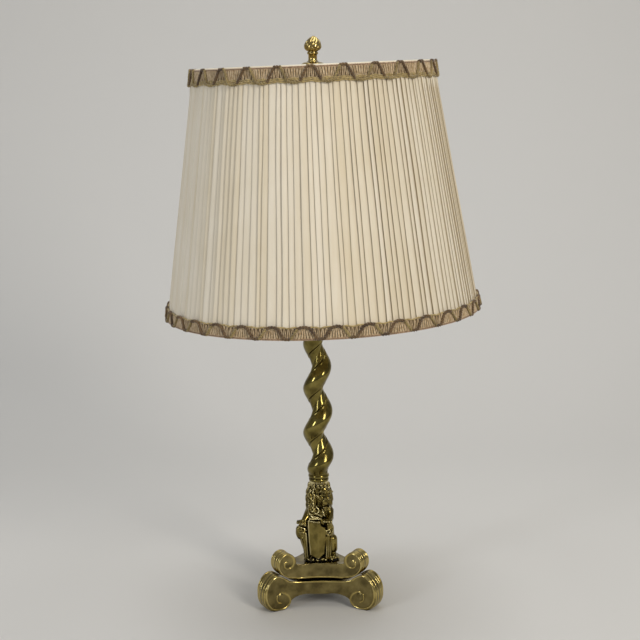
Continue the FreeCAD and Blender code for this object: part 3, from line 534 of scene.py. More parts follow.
def mesh_of(shape: bmesh.types.BMesh, name: str) -> bpy.types.Mesh:
    """Merge a shape's doubles, turn its faces outwards and store it as a mesh."""
    bmesh.ops.remove_doubles(shape, verts=shape.verts, dist=WELD)
    bmesh.ops.recalc_face_normals(shape, faces=shape.faces)
    return stored(shape, name)


def changed_by(mesh: bpy.types.Mesh, *modifiers: tuple[str, dict]) -> bpy.types.Mesh:
    """Apply modifiers to a mesh.

    Args:
        mesh: the mesh to start from, which is freed.
        modifiers: the kind and the settings of each modifier, in order.

    Returns:
        The changed mesh.
    """
    holder = bpy.data.objects.new("holder", mesh)
    bpy.context.scene.collection.objects.link(holder)
    for kind, settings in modifiers:
        modifier = holder.modifiers.new(kind, kind)
        for name, value in settings.items():
            setattr(modifier, name, value)
    ready = holder.evaluated_get(bpy.context.evaluated_depsgraph_get())
    made = bpy.data.meshes.new_from_object(ready)
    bpy.data.objects.remove(holder)
    bpy.data.meshes.remove(mesh)
    return made


def recast(mesh: bpy.types.Mesh, voxel: float) -> bpy.types.Mesh:
    """Join a mesh's overlapping bodies in one skin and soften it a little, as a mould does."""
    return changed_by(
        mesh,
        ("REMESH", {"mode": "VOXEL", "voxel_size": voxel}),
        ("SMOOTH", {"factor": 0.5, "iterations": 2}),
    )


def ring_stack(segments: int, rows: int) -> bmesh.types.BMesh:
    """Return an open tube of unit radius whose rings lie one unit apart, to be laid out row by row."""
    shape = bmesh.new()
    bmesh.ops.create_circle(shape, segments=segments, radius=1.0)
    rim = shape.edges[:]
    for _ in range(rows):
        grown = bmesh.ops.extrude_edge_only(shape, edges=rim)["geom"]
        verts = [g for g in grown if isinstance(g, bmesh.types.BMVert)]
        bmesh.ops.translate(shape, verts=verts, vec=(0, 0, 1.0))
        rim = [g for g in grown if isinstance(g, bmesh.types.BMEdge) and g.is_boundary]
    return shape


def map_cloth(
    shape: bmesh.types.BMesh,
    cloth: bmesh.types.BMLayerItem,
    spots: dict[bmesh.types.BMVert, tuple[float, float]],
    length: float,
) -> None:
    """Fill a sheet's UV map, in metres round and up the shade.

    Args:
        shape: the sheet, which goes once round.
        cloth: the UV layer to fill.
        spots: each point's share of the way round and its height.
        length: the way round.
    """
    for face in shape.faces:
        start = min(spots[loop.vert][0] for loop in face.loops)
        for loop in face.loops:
            around, height = spots[loop.vert]
            if around - start > 0.5:
                around -= 1.0
            loop[cloth].uv = (around * length, height)


@dataclass
class Strand:
    """One round strand: the points of its line and its radius at each of them."""

    points: list[Vector]
    radii: list[float]
    closed: bool = False


def swept(strands: list[Strand], sides: int = 1, smooth: int = 0) -> bpy.types.Mesh:
    """Sweep round strands along their lines.

    Args:
        strands: the strands.
        sides: the bevel's resolution; 0 gives four sides, and each step two more.
        smooth: steps between two points of a smooth line; 0 keeps straight runs.

    Returns:
        One mesh that holds every strand, with closed ends.
    """
    line = bpy.data.curves.new("line", "CURVE")
    line.dimensions = "3D"
    line.bevel_depth = 1.0
    line.bevel_resolution = sides
    line.use_fill_caps = True
    line.resolution_u = max(1, smooth)
    for strand in strands:
        spline = line.splines.new("NURBS" if smooth else "POLY")
        spline.points.add(len(strand.points) - 1)
        for point, place, radius in zip(spline.points, strand.points, strand.radii):
            point.co = (*place, 1.0)
            point.radius = radius
        spline.use_cyclic_u = strand.closed
        if smooth:
            spline.order_u = 3
            spline.use_endpoint_u = not strand.closed
    holder = bpy.data.objects.new("line", line)
    bpy.context.scene.collection.objects.link(holder)
    made = bpy.data.meshes.new_from_object(holder.evaluated_get(bpy.context.evaluated_depsgraph_get()))
    bpy.data.objects.remove(holder)
    bpy.data.curves.remove(line)
    return made


def centre_of(node: str) -> Vector:
    """Return the middle of a CAD node's box."""
    low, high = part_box(node)
    return (low + high) / 2.0


@dataclass
class Casting:
    """A tier of the base: the CAD casting with soft cast edges, and rims and reeds laid on in a lighter brass,
    rubbed wear with a painted highlight.

    On each face of each leg a rim follows the roll's outer edge, turns under it, climbs its inner side and
    curls in over the flat eye. way lists its points as seen on the face, outwards and upwards. edge lists the
    points of the rim between two legs, aside and upwards. roll is the middle of the band's curve, outwards
    and upwards, and band the angles between which it is reeded. All of these are millimetres and degrees.
    """

    node: str
    half_width: float
    way: tuple[tuple[float, float], ...]
    edge: tuple[tuple[float, float], ...]
    roll: tuple[float, float]
    band: tuple[float, float]
    rim: float = 1.15 * MM
    proud: float = 0.1 * MM
    edge_sink: float = 0.35 * MM
    reed: float = 1.3 * MM
    reed_sink: float = 0.75 * MM
    reed_places: tuple[float, ...] = (-0.72, -0.3, 0.3, 0.72)
    reed_steps: int = 21
    outside: float = 200.0 * MM
    off_roll: float = 60.0 * MM
    voxel: float = 0.75 * MM
    legs: tuple[float, ...] = (-150.0, -30.0, 90.0)

    def __post_init__(self) -> None:
        """Take the CAD solid as the surface that rims and reeds lie on."""
        shape = bmesh.new()
        shape.from_mesh(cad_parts[self.node].data)
        self.surface = BVHTree.FromBMesh(shape)
        shape.free()
        self.bottom = Vector((0.0, 0.0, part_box(self.node)[0].z))

    def laid(self, rays: list[tuple[Vector, Vector]], radius: float, sink: float) -> list[Strand]:
        """Return the strand that the rays find on the surface, sunk into it a little, or none."""
        points = []
        for start, way in rays:
            place = self.surface.ray_cast(start, way)[0]
            if place:
                points.append(place + way * sink)
        return [Strand(points, [radius] * len(points))] if len(points) > 3 else []

    def curl(self, leg: float, side: int) -> Strand:
        """Return the rim on one face of one leg."""
        along = Vector((math.cos(math.radians(leg)), math.sin(math.radians(leg)), 0.0))
        across = Vector((-along.y, along.x, 0.0))
        points, radii = [], []
        for i, (out, up) in enumerate(self.way):
            share = i / (len(self.way) - 1)
            place = along * (out * MM) + across * (side * (self.half_width + self.proud))
            points.append(self.bottom + place + Vector((0.0, 0.0, up * MM)))
            radii.append(self.rim * (0.8 + 0.35 * math.sin(math.pi * min(1.0, 0.25 + share))))
        return Strand(points, radii)

    def rims(self) -> bpy.types.Mesh:
        """Return the rims of all faces and sides, and the reeds of all bands."""
        strands = [self.curl(leg, side) for leg in self.legs for side in (-1, 1)]
        first, last = self.band
        for leg in self.legs:
            # The side between the first two legs faces the front, and each leg turns it on by one.
            turn = Matrix.Rotation(math.radians(leg - self.legs[0]), 3, "Z")
            inwards = turn @ Vector((0, 1, 0))
            starts = [turn @ Vector((x * MM, -self.outside, up * MM)) for x, up in self.edge]
            rays = [(self.bottom + start, inwards) for start in starts]
            strands += self.laid(rays, self.rim, self.edge_sink)
            along = Matrix.Rotation(math.radians(leg), 3, "Z")
            for place in self.reed_places:
                middle = Vector((self.roll[0] * MM, place * self.half_width, self.roll[1] * MM))
                rays = []
                for step in range(self.reed_steps + 1):
                    angle = math.radians(first + (last - first) * step / self.reed_steps)
                    way = Vector((math.cos(angle), 0.0, math.sin(angle)))
                    rays.append((self.bottom + along @ (middle + way * self.off_roll), along @ -way))
                strands += self.laid(rays, self.reed, self.reed_sink)
        return swept(strands, sides=2, smooth=5)

    def build(self) -> list[bpy.types.Object]:
        """Cast the tier anew from the CAD solid and lay the rims and reeds on it."""
        shape = bmesh.new()
        shape.from_mesh(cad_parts[self.node].data)
        bmesh.ops.remove_doubles(shape, verts=shape.verts, dist=WELD)
        mesh = recast(stored(shape, self.node), self.voxel)
        name = f"{self.node}_casting"
        return [
            piece(name, mesh, BASE_BRASS, Body.ROOT, (self.node,)),
            # The rims and reeds carry a painted highlight in their lighter brass.
            piece(f"{self.node}_rims", self.rims(), RIM_HIGHLIGHT_BRASS, Body.ROOT),
        ]


FOOT_RIM = (
    (56.5, 39.4),
    (64.5, 45.4),
    (72.4, 48.9),
    (80.0, 46.4),
    (86.2, 40.0),
    (90.2, 31.0),
    (90.8, 20.0),
    (87.6, 10.8),
    (80.4, 3.8),
    (70.2, 0.9),
    (60.4, 2.6),
    (54.4, 8.6),
    (54.8, 15.6),
    (59.6, 21.8),
    (66.8, 25.9),
    (73.4, 23.4),
    (75.4, 17.4),
    (72.6, 11.2),
    (68.4, 10.6),
)
FOOT_EDGE = (
    (-42.0, 39.0),
    (-35.9, 36.6),
    (-18.0, 35.6),
    (0.0, 35.5),
    (18.0, 35.6),
    (35.9, 36.6),
    (42.0, 39.0),
)
VOLUTE_RIM = (
    (44.0, 1.6),
    (52.0, 3.4),
    (62.8, 8.4),
    (68.8, 16.5),
    (70.2, 24.5),
    (67.0, 33.2),
    (58.5, 38.2),
    (50.0, 35.6),
    (46.4, 28.0),
    (48.2, 20.1),
    (54.0, 16.4),
    (60.4, 18.2),
    (62.2, 24.0),
    (59.6, 28.2),
    (56.4, 26.8),
)
VOLUTE_EDGE = tuple((8.0 * step, 1.4) for step in range(-6, 7))


@dataclass(frozen=True)
class Limb:
    """A rounded mass between two places of the lion, in millimetres above the upper tier's top."""

    start: tuple[float, float, float]
    start_radius: float
    end: tuple[float, float, float]
    end_radius: float

    def add_to(self, shape: bmesh.types.BMesh, base: Vector) -> None:
        """Add two balls and the cone between them."""
        first, last = base + Vector(self.start) * MM, base + Vector(self.end) * MM
        for place, radius in ((first, self.start_radius), (last, self.end_radius)):
            spot = Matrix.Translation(place)
            bmesh.ops.create_icosphere(shape, subdivisions=3, radius=radius * MM, matrix=spot)
        line = last - first
        turn = Vector((0, 0, 1)).rotation_difference(line).to_matrix().to_4x4()
        bmesh.ops.create_cone(
            shape,
            cap_ends=True,
            segments=28,
            radius1=self.start_radius * MM,
            radius2=self.end_radius * MM,
            depth=line.length,
            matrix=Matrix.Translation((first + last) / 2.0) @ turn,
        )


@dataclass(frozen=True)
class Lock:
    """A curved line of carving: a lock of hair, a lid, a flute or a curl, thickest at its middle."""

    thick: float
    thin: float
    way: tuple[tuple[float, float, float], ...]

    def strand(self, base: Vector) -> Strand:
        """Return it as a strand."""
        last = len(self.way) - 1
        swell = self.thick - self.thin
        radii = [MM * (self.thin + swell * math.sin(math.pi * i / last) ** 0.7) for i in range(last + 1)]
        return Strand([base + Vector(place) * MM for place in self.way], radii)


LION_BODY = (
    Limb((1.2, 10.5, 18.8), 20.4, (0.6, 8.9, 34.5), 19.4),
    Limb((0.0, 4.7, 45.0), 16.8, (0.2, 1.9, 65.0), 14.8),
    Limb((-4.6, 2.6, 68.0), 11.6, (-4.4, 2.2, 92.0), 11.8),
    Limb((4.6, 2.6, 68.0), 11.6, (4.6, 2.2, 92.0), 11.8),
    Limb((0.0, 5.5, 68.0), 11.2, (0.0, 5.0, 94.0), 11.0),
    Limb((-8.4, -5.0, 68.0), 7.2, (-8.0, -4.6, 93.0), 7.4),
    Limb((9.4, -3.0, 68.0), 7.4, (9.2, -2.4, 93.0), 7.6),
    Limb((-1.8, 0.8, 93.0), 12.8, (0.0, 0.0, 101.5), 12.4),
    Limb((2.4, 0.8, 93.0), 12.8, (0.0, 0.0, 101.5), 12.4),
    Limb((-9.0, -6.9, 66.0), 9.4, (1.5, -7.5, 65.0), 9.0),
)
LION_HEAD = (
    Limb((6.0, -10.6, 100.0), 6.6, (8.6, -11.4, 95.0), 6.6),
    Limb((-0.6, -12.6, 90.6), 4.6, (3.4, -15.2, 88.6), 4.6),
    Limb((14.6, -10.8, 91.5), 4.2, (15.4, -11.2, 86.0), 4.2),
    Limb((8.4, -14.0, 88.4), 5.2, (10.6, -17.0, 87.0), 4.8),
    Limb((10.0, -16.4, 98.2), 2.6, (10.9, -22.4, 91.6), 3.1),
    Limb((8.7, -24.2, 90.4), 2.1, (12.9, -23.8, 90.2), 2.0),
    Limb((7.8, -20.2, 86.4), 3.9, (8.2, -20.6, 84.0), 3.8),
    Limb((14.2, -18.6, 86.4), 3.6, (14.8, -18.4, 84.0), 3.6),
    Limb((7.6, -11.0, 78.5), 5.0, (10.4, -12.8, 76.0), 4.4),
    Limb((6.6, -17.4, 76.2), 1.7, (14.4, -16.6, 76.0), 1.6),
    Limb((9.0, -17.2, 72.8), 2.5, (13.0, -16.6, 73.0), 2.4),
    Limb((4.8, -17.3, 95.2), 2.1, (4.9, -17.4, 95.1), 2.1),
    Limb((14.9, -14.9, 95.0), 1.9, (14.9, -15.0, 94.9), 1.9),
    Limb((-0.8, -15.0, 96.6), 1.7, (3.2, -18.4, 99.4), 2.1),
    Limb((3.2, -18.4, 99.4), 2.1, (8.0, -19.2, 98.2), 1.9),
    Limb((12.6, -18.2, 98.4), 1.8, (15.4, -16.2, 99.2), 1.9),
    Limb((15.4, -16.2, 99.2), 1.9, (17.8, -12.6, 96.8), 1.6),
)
LION_LIMBS = (
    Limb((-12.0, -3.1, 66.0), 7.6, (-20.2, -14.0, 57.0), 4.4),
    Limb((-26.0, -14.0, 54.8), 3.2, (-20.5, -16.4, 53.4), 3.8),
    Limb((-24.5, -10.4, 49.6), 3.6, (-15.0, -9.4, 51.0), 3.6),
    Limb((-15.0, -9.4, 55.6), 3.0, (-15.4, -9.6, 44.0), 3.0),
    Limb((12.6, -3.3, 66.5), 7.4, (14.2, -8.5, 59.0), 5.4),
    Limb((14.6, -8.0, 62.5), 5.0, (12.6, -15.0, 57.2), 4.2),
    Limb((9.4, -16.6, 57.0), 3.4, (14.2, -16.2, 56.6), 3.4),
    Limb((-21.4, -5.0, 37.9), 9.0, (-15.4, -9.5, 6.5), 4.8),
    Limb((-27.4, -11.4, 44.0), 5.0, (-26.0, -12.4, 34.5), 5.2),
    Limb((-21.8, -13.2, 41.0), 4.2, (-21.0, -13.4, 28.0), 3.8),
    Limb((-20.4, -13.6, 28.0), 3.8, (-17.8, -14.2, 3.5), 3.4),
    Limb((13.4, -12.4, 50.0), 4.8, (13.2, -13.0, 36.0), 4.9),
    Limb((12.2, -13.0, 34.0), 4.4, (11.6, -13.6, 3.5), 3.8),
    Limb((17.0, -4.5, 26.5), 7.4, (18.2, -7.0, 14.0), 6.2),
    Limb((18.4, -8.0, 6.0), 4.8, (20.0, -12.5, 4.2), 3.6),
    Limb((2.1, 30.0, 4.0), 2.6, (13.5, 26.0, 6.0), 2.4),
)
LION_TOES = (
    Limb((-29.2, -12.6, 55.2), 1.9, (-29.6, -14.4, 53.8), 1.9),
    Limb((-26.2, -15.4, 55.4), 2.0, (-26.8, -17.4, 53.6), 2.0),
    Limb((-22.8, -17.4, 55.0), 2.1, (-23.4, -19.4, 53.2), 2.1),
    Limb((-19.2, -17.8, 53.8), 1.9, (-19.4, -19.4, 51.8), 1.9),
    Limb((7.4, -17.6, 58.0), 1.7, (6.7, -20.0, 56.6), 1.7),
    Limb((10.2, -18.4, 58.4), 1.8, (9.9, -20.8, 56.8), 1.8),
    Limb((13.2, -18.2, 58.2), 1.8, (13.2, -20.6, 56.6), 1.8),
    Limb((16.0, -16.8, 57.4), 1.6, (16.3, -18.8, 55.8), 1.6),
    Limb((-19.4, -13.6, 3.0), 2.0, (-19.8, -16.4, 2.3), 2.0),
    Limb((-15.2, -15.6, 3.4), 2.2, (-15.6, -18.8, 2.4), 2.2),
    Limb((-9.0, -16.4, 3.4), 2.5, (-9.3, -20.2, 2.5), 2.5),
    Limb((-3.2, -17.4, 2.6), 2.0, (-3.3, -20.8, 2.0), 2.0),
    Limb((3.6, -16.8, 4.6), 2.7, (3.7, -20.6, 3.3), 2.7),
    Limb((8.2, -16.4, 3.2), 2.1, (8.5, -19.4, 2.3), 2.1),
    Limb((15.0, -13.6, 5.0), 2.1, (15.2, -15.8, 4.4), 2.1),
    Limb((16.4, -15.2, 3.0), 1.9, (16.8, -18.0, 2.1), 1.9),
    Limb((20.6, -12.8, 3.8), 2.3, (21.0, -15.4, 3.0), 2.3),
    Limb((23.8, -9.6, 2.4), 1.8, (25.0, -11.6, 1.8), 1.8),
)
LION_LINES = (
    Lock(0.8, 0.6, ((1.6, -16.6, 93.6), (4.8, -18.8, 92.2), (7.8, -18.8, 93.6))),
    Lock(0.8, 0.5, ((12.4, -17.4, 93.4), (14.8, -16.4, 92.4), (17.0, -13.4, 93.6))),
    Lock(1.1, 0.6, ((-4.4, -15.6, 93.8), (-1.0, -17.6, 91.6), (2.0, -19.2, 89.8), (4.6, -20.6, 88.0))),
    Lock(2.0, 1.0, ((-5.4, -13.0, 109.6), (-7.0, -14.8, 106.8), (-6.4, -15.6, 103.4), (-4.2, -16.4, 101.4))),
    Lock(1.9, 1.0, ((-1.0, -14.6, 110.6), (-2.0, -17.0, 107.8), (-1.0, -17.6, 105.0), (0.8, -17.8, 103.4))),
    Lock(1.9, 1.0, ((3.4, -14.6, 110.8), (2.8, -17.6, 108.4), (4.0, -18.2, 105.8), (5.6, -18.2, 104.2))),
    Lock(1.9, 1.0, ((7.6, -13.6, 110.4), (8.4, -17.2, 107.8), (9.6, -17.8, 105.4), (9.4, -17.8, 103.6))),
    Lock(1.8, 1.0, ((11.8, -11.6, 109.6), (13.6, -14.8, 106.8), (14.2, -15.8, 104.2), (12.8, -16.4, 102.8))),
    Lock(1.0, 0.6, ((6.4, -21.4, 88.8), (4.4, -20.6, 86.4), (4.2, -18.8, 82.6), (5.4, -17.0, 79.6))),
    Lock(1.0, 0.6, ((15.4, -19.8, 88.6), (17.6, -17.0, 86.0), (17.4, -14.6, 82.0), (16.0, -13.8, 78.6))),
    Lock(2.1, 0.8, ((-10.4, -12.6, 98.6), (-13.4, -11.0, 95.6), (-13.6, -11.6, 91.0), (-11.6, -13.4, 86.8))),
    Lock(
        1.9,
        0.7,
        (
            (-12.0, -12.6, 80.0),
            (-9.0, -17.4, 77.0),
            (-5.8, -18.8, 73.6),
            (-8.2, -19.6, 70.4),
            (-11.4, -18.4, 71.6),
        ),
    ),
    Lock(1.5, 0.6, ((-4.6, -15.8, 78.0), (-1.6, -17.6, 74.8), (0.2, -18.6, 71.4), (-2.6, -19.4, 69.4))),
    Lock(1.5, 0.6, ((-6.6, -18.6, 69.0), (-2.8, -19.8, 67.6), (0.8, -19.8, 65.4), (4.4, -19.0, 63.8))),
    Lock(1.6, 0.7, ((-14.6, -12.6, 74.0), (-14.2, -15.6, 69.0), (-11.4, -18.2, 65.6), (-8.0, -19.4, 66.8))),
    Lock(1.5, 0.6, ((3.4, -14.6, 74.0), (5.8, -16.8, 70.0), (5.2, -18.4, 66.6), (7.8, -18.0, 63.6))),
    Lock(1.3, 0.6, ((-12.6, -17.2, 64.6), (-9.6, -18.9, 62.8), (-5.6, -19.8, 64.0), (-1.8, -19.8, 62.4))),
    Lock(1.6, 0.6, ((-7.4, -14.0, 86.0), (-8.8, -16.0, 82.4), (-6.6, -16.8, 79.0), (-8.4, -17.6, 76.0))),
    Lock(
        1.1,
        0.7,
        (
            (-30.6, -12.6, 47.6),
            (-32.4, -11.4, 41.0),
            (-30.6, -13.8, 34.0),
            (-25.8, -16.4, 30.8),
            (-21.2, -17.0, 34.0),
            (-21.0, -17.4, 39.6),
            (-25.0, -17.6, 41.4),
            (-28.0, -16.8, 38.6),
            (-25.2, -17.4, 36.4),
        ),
    ),
    Lock(1.5, 0.7, ((-29.4, -12.8, 49.6), (-25.0, -16.0, 47.4), (-20.4, -17.2, 46.6), (-17.8, -17.4, 43.0))),
    Lock(1.3, 1.0, ((-21.4, -16.4, 31.0), (-20.8, -16.9, 18.0), (-19.6, -17.2, 4.0))),
    Lock(1.3, 1.0, ((-18.2, -16.8, 40.0), (-17.9, -17.2, 20.0), (-16.6, -17.4, 4.0))),
    Lock(
        1.6,
        0.8,
        (
            (14.6, -15.2, 54.6),
            (18.4, -15.2, 50.6),
            (18.8, -16.4, 43.6),
            (15.8, -18.2, 37.2),
            (10.8, -18.8, 36.8),
            (8.8, -19.0, 41.4),
            (11.2, -19.2, 45.2),
            (14.8, -18.9, 44.0),
            (14.6, -19.2, 40.2),
            (12.2, -19.4, 40.4),
        ),
    ),
    Lock(1.3, 1.0, ((9.6, -16.6, 34.0), (9.4, -17.2, 20.0), (9.0, -17.4, 5.0))),
    Lock(1.3, 1.0, ((12.8, -16.8, 34.0), (12.6, -17.2, 20.0), (12.0, -17.4, 5.0))),
    Lock(1.2, 1.0, ((15.6, -15.0, 34.0), (15.4, -15.4, 20.0), (14.6, -15.8, 5.0))),
    Lock(
        2.6,
        1.6,
        (
            (13.0, 26.0, 6.0),
            (20.0, 19.0, 8.0),
            (22.4, 11.0, 15.0),
            (20.6, 9.6, 24.0),
            (16.0, 14.4, 30.0),
        ),
    ),
    Lock(3.4, 0.8, ((17.6, 12.0, 27.0), (15.4, 17.0, 32.0), (15.8, 15.6, 38.0), (11.6, 17.8, 43.0))),
)
SHIELD_KEEL = -1.8
SHIELD_OUTLINE = (
    (SHIELD_KEEL, 57.5),
    (0.8, 57.2),
    (1.8, 52.0),
    (8.0, 46.4),
    (8.4, 30.0),
    (6.2, 11.0),
    (SHIELD_KEEL, 4.6),
    (-11.8, 8.6),
    (-14.4, 30.0),
    (-15.0, 57.6),
)
# For each row of the mane: its top, its radius, how far back its middle lies and its number of locks.
MANE_ROWS = (
    (107.0, 13.4, 0.3, 17),
    (100.0, 15.5, 0.2, 17),
    (92.0, 16.2, 0.4, 17),
    (84.0, 16.0, 0.8, 16),
    (76.0, 15.6, 1.0, 16),
    (68.0, 15.2, 1.6, 15),
    (60.0, 15.4, 2.4, 15),
)
# For each point of a lock: its share of the length, how far out it lies and its share of the swing.
MANE_LOCK = (
    (0.0, -0.6, 0.0),
    (0.3, 0.7, 0.6),
    (0.62, 1.0, -0.5),
    (0.86, 1.2, -0.9),
    (1.0, 1.8, -0.2),
)


@dataclass
class Lion:
    """Seated lion, cast: heavy head turned aside, mane of curled locks, paws on the curls of a keeled shield.

    Its places are millimetres above the upper tier's top. face and chest are the angles round the neck at
    which the mane's upper and lower rows have no locks. fringe lists the curls along the shield's head.
    """

    voxel: float = 0.52 * MM
    neck_radius: float = 13.0
    neck_top: float = 110.2
    neck_length: float = 10.0
    keel_front: float = -24.4
    edge_front: float = -18.4
    keel_reach: float = 12.0
    shield_back: float = -10.0
    rim: float = 0.8
    face: tuple[float, float] = (-108.0, -8.0)
    chest: tuple[float, float] = (-155.0, -12.0)
    face_rows: int = 5
    fringe: tuple[float, ...] = (-13.0, -10.0, -7.0, -4.0, -1.0, 2.0)

    def shield(self, shape: bmesh.types.BMesh, base: Vector) -> None:
        """Add the shield: two flat halves that meet in an upright keel."""
        ahead, behind = [], []
        for x, z in SHIELD_OUTLINE:
            share = min(1.0, abs(x - SHIELD_KEEL) / self.keel_reach)
            front = self.keel_front + (self.edge_front - self.keel_front) * share
            ahead.append(shape.verts.new(base + Vector((x, front, z)) * MM))
            behind.append(shape.verts.new(base + Vector((x, self.shield_back, z)) * MM))
        foot = next(i for i, (x, _) in enumerate(SHIELD_OUTLINE) if i and x == SHIELD_KEEL)
        shape.faces.new(ahead[: foot + 1])
        shape.faces.new(ahead[foot:] + ahead[:1])
        shape.faces.new(behind[::-1])
        for i, place in enumerate(ahead):
            after = (i + 1) % len(ahead)
            shape.faces.new((place, behind[i], behind[after], ahead[after]))

    def mane(self) -> list[Lock]:
        """Return the locks that hang in rows all round the head and down the back, but for the face."""
        source = random.Random(23)
        locks = []
        for row, (top, radius, back, count) in enumerate(MANE_ROWS):
            low, high = self.face if row < self.face_rows else self.chest
            for i in range(count):
                degrees = 360.0 * (i + 0.5 * (row % 2) + source.uniform(-0.12, 0.12)) / count
                ahead = (degrees + 180.0) % 360.0 - 180.0
                if row and low < ahead < high:
                    continue
                swing = source.choice((-1.0, 1.0)) * source.uniform(8.0, 13.0)
                length = source.uniform(10.5, 13.5) if row else 6.5
                way = []
                for share, out, aside in MANE_LOCK:
                    angle = math.radians(degrees + swing * aside)
                    reach = radius + out
                    way.append((reach * math.cos(angle), back + reach * math.sin(angle), top - length * share))
                locks.append(Lock(1.9 if row else 1.5, 0.7, tuple(way)))
        return locks

    def build(self) -> bpy.types.Object:
        """Gather the masses, the shield and the carved lines, and cast them in one."""
        base = Vector((0.0, 0.0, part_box("lion")[0].z))
        shape = bmesh.new()
        for limb in LION_BODY + LION_HEAD + LION_LIMBS + LION_TOES:
            limb.add_to(shape, base)
        neck = Matrix.Translation(base + Vector((0.0, 0.0, self.neck_top - 0.5 * self.neck_length)) * MM)
        bmesh.ops.create_cone(
            shape,
            cap_ends=True,
            segments=64,
            radius1=self.neck_radius * MM,
            radius2=self.neck_radius * MM,
            depth=self.neck_length * MM,
            matrix=neck,
        )
        self.shield(shape, base)
        for x in self.fringe:
            Limb((x, -18.6, 60.9), 1.5, (x, -19.4, 60.2), 1.4).add_to(shape, base)
        bmesh.ops.bisect_plane(
            shape,
            geom=shape.verts[:] + shape.edges[:] + shape.faces[:],
            plane_co=(0, 0, base.z),
            plane_no=(0, 0, -1),
            clear_outer=True,
        )
        bmesh.ops.holes_fill(shape, edges=[e for e in shape.edges if e.is_boundary], sides=0)
        front = self.edge_front - 0.1
        side = ((-12.6, front, 9.0), (-14.6, front, 30.0), (-15.2, front, 57.4))
        head = ((-15.2, self.edge_front, 57.4), (SHIELD_KEEL, self.keel_front, 57.3), (1.0, -23.4, 56.9))
        rims = [Lock(self.rim, self.rim, way) for way in (side, head)]
        lines = [lock.strand(base) for lock in (*LION_LINES, *self.mane(), *rims)]
        shape.from_mesh(swept(lines, sides=2, smooth=5))
        mesh = recast(stored(shape, "lion"), self.voxel)
        return piece("seated_lion", mesh, LION_BRASS, Body.ROOT, ("lion",))


def turned(outline: list[tuple[float, float]], segments: int) -> bmesh.types.BMesh:
    """Turn a half section of radii and heights once round the lamp's axis."""
    shape = bmesh.new()
    chain = [shape.verts.new((x, 0.0, z)) for x, z in outline]
    edges = [shape.edges.new(pair) for pair in zip(chain, chain[1:])]
    bmesh.ops.spin(
        shape, geom=chain + edges, cent=(0, 0, 0), axis=(0, 0, 1), angle=TURN, steps=segments, use_merge=True
    )
    return shape


@dataclass
class Collar:
    """The double ring between the lion's head and the column, the upper bead a little fuller."""

    bore: float = 5.3 * MM
    beads: tuple[tuple[float, float, float], ...] = ((5.2, 4.3, 13.6), (9.7, 5.0, 14.2))
    neck: float = 12.3 * MM
    roundness: int = 10

    def build(self) -> bpy.types.Object:
        """Turn the two beads over a plain neck."""
        low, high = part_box("collar")
        tall = high.z - low.z
        outline = [(self.bore, 0.0), (self.neck, 0.0)]
        for bottom, height, radius in self.beads:
            for step in range(self.roundness + 1):
                angle = math.pi * (step / self.roundness - 0.5)
                bulge = (radius * MM - self.neck) * max(0.0, math.cos(angle)) ** 0.8
                outline.append((self.neck + bulge, (bottom + height * (0.5 + 0.5 * math.sin(angle))) * MM))
        top = max(tall, outline[-1][1])
        outline += [(self.bore, top), (self.bore, 0.0)]
        shape = turned(outline, 96)
        bmesh.ops.translate(shape, verts=shape.verts, vec=(0, 0, low.z))
        mesh = mesh_of(shape, "bead_collar")
        return piece("bead_collar", mesh, TWIST_BRASS, Body.ROOT, ("collar",))


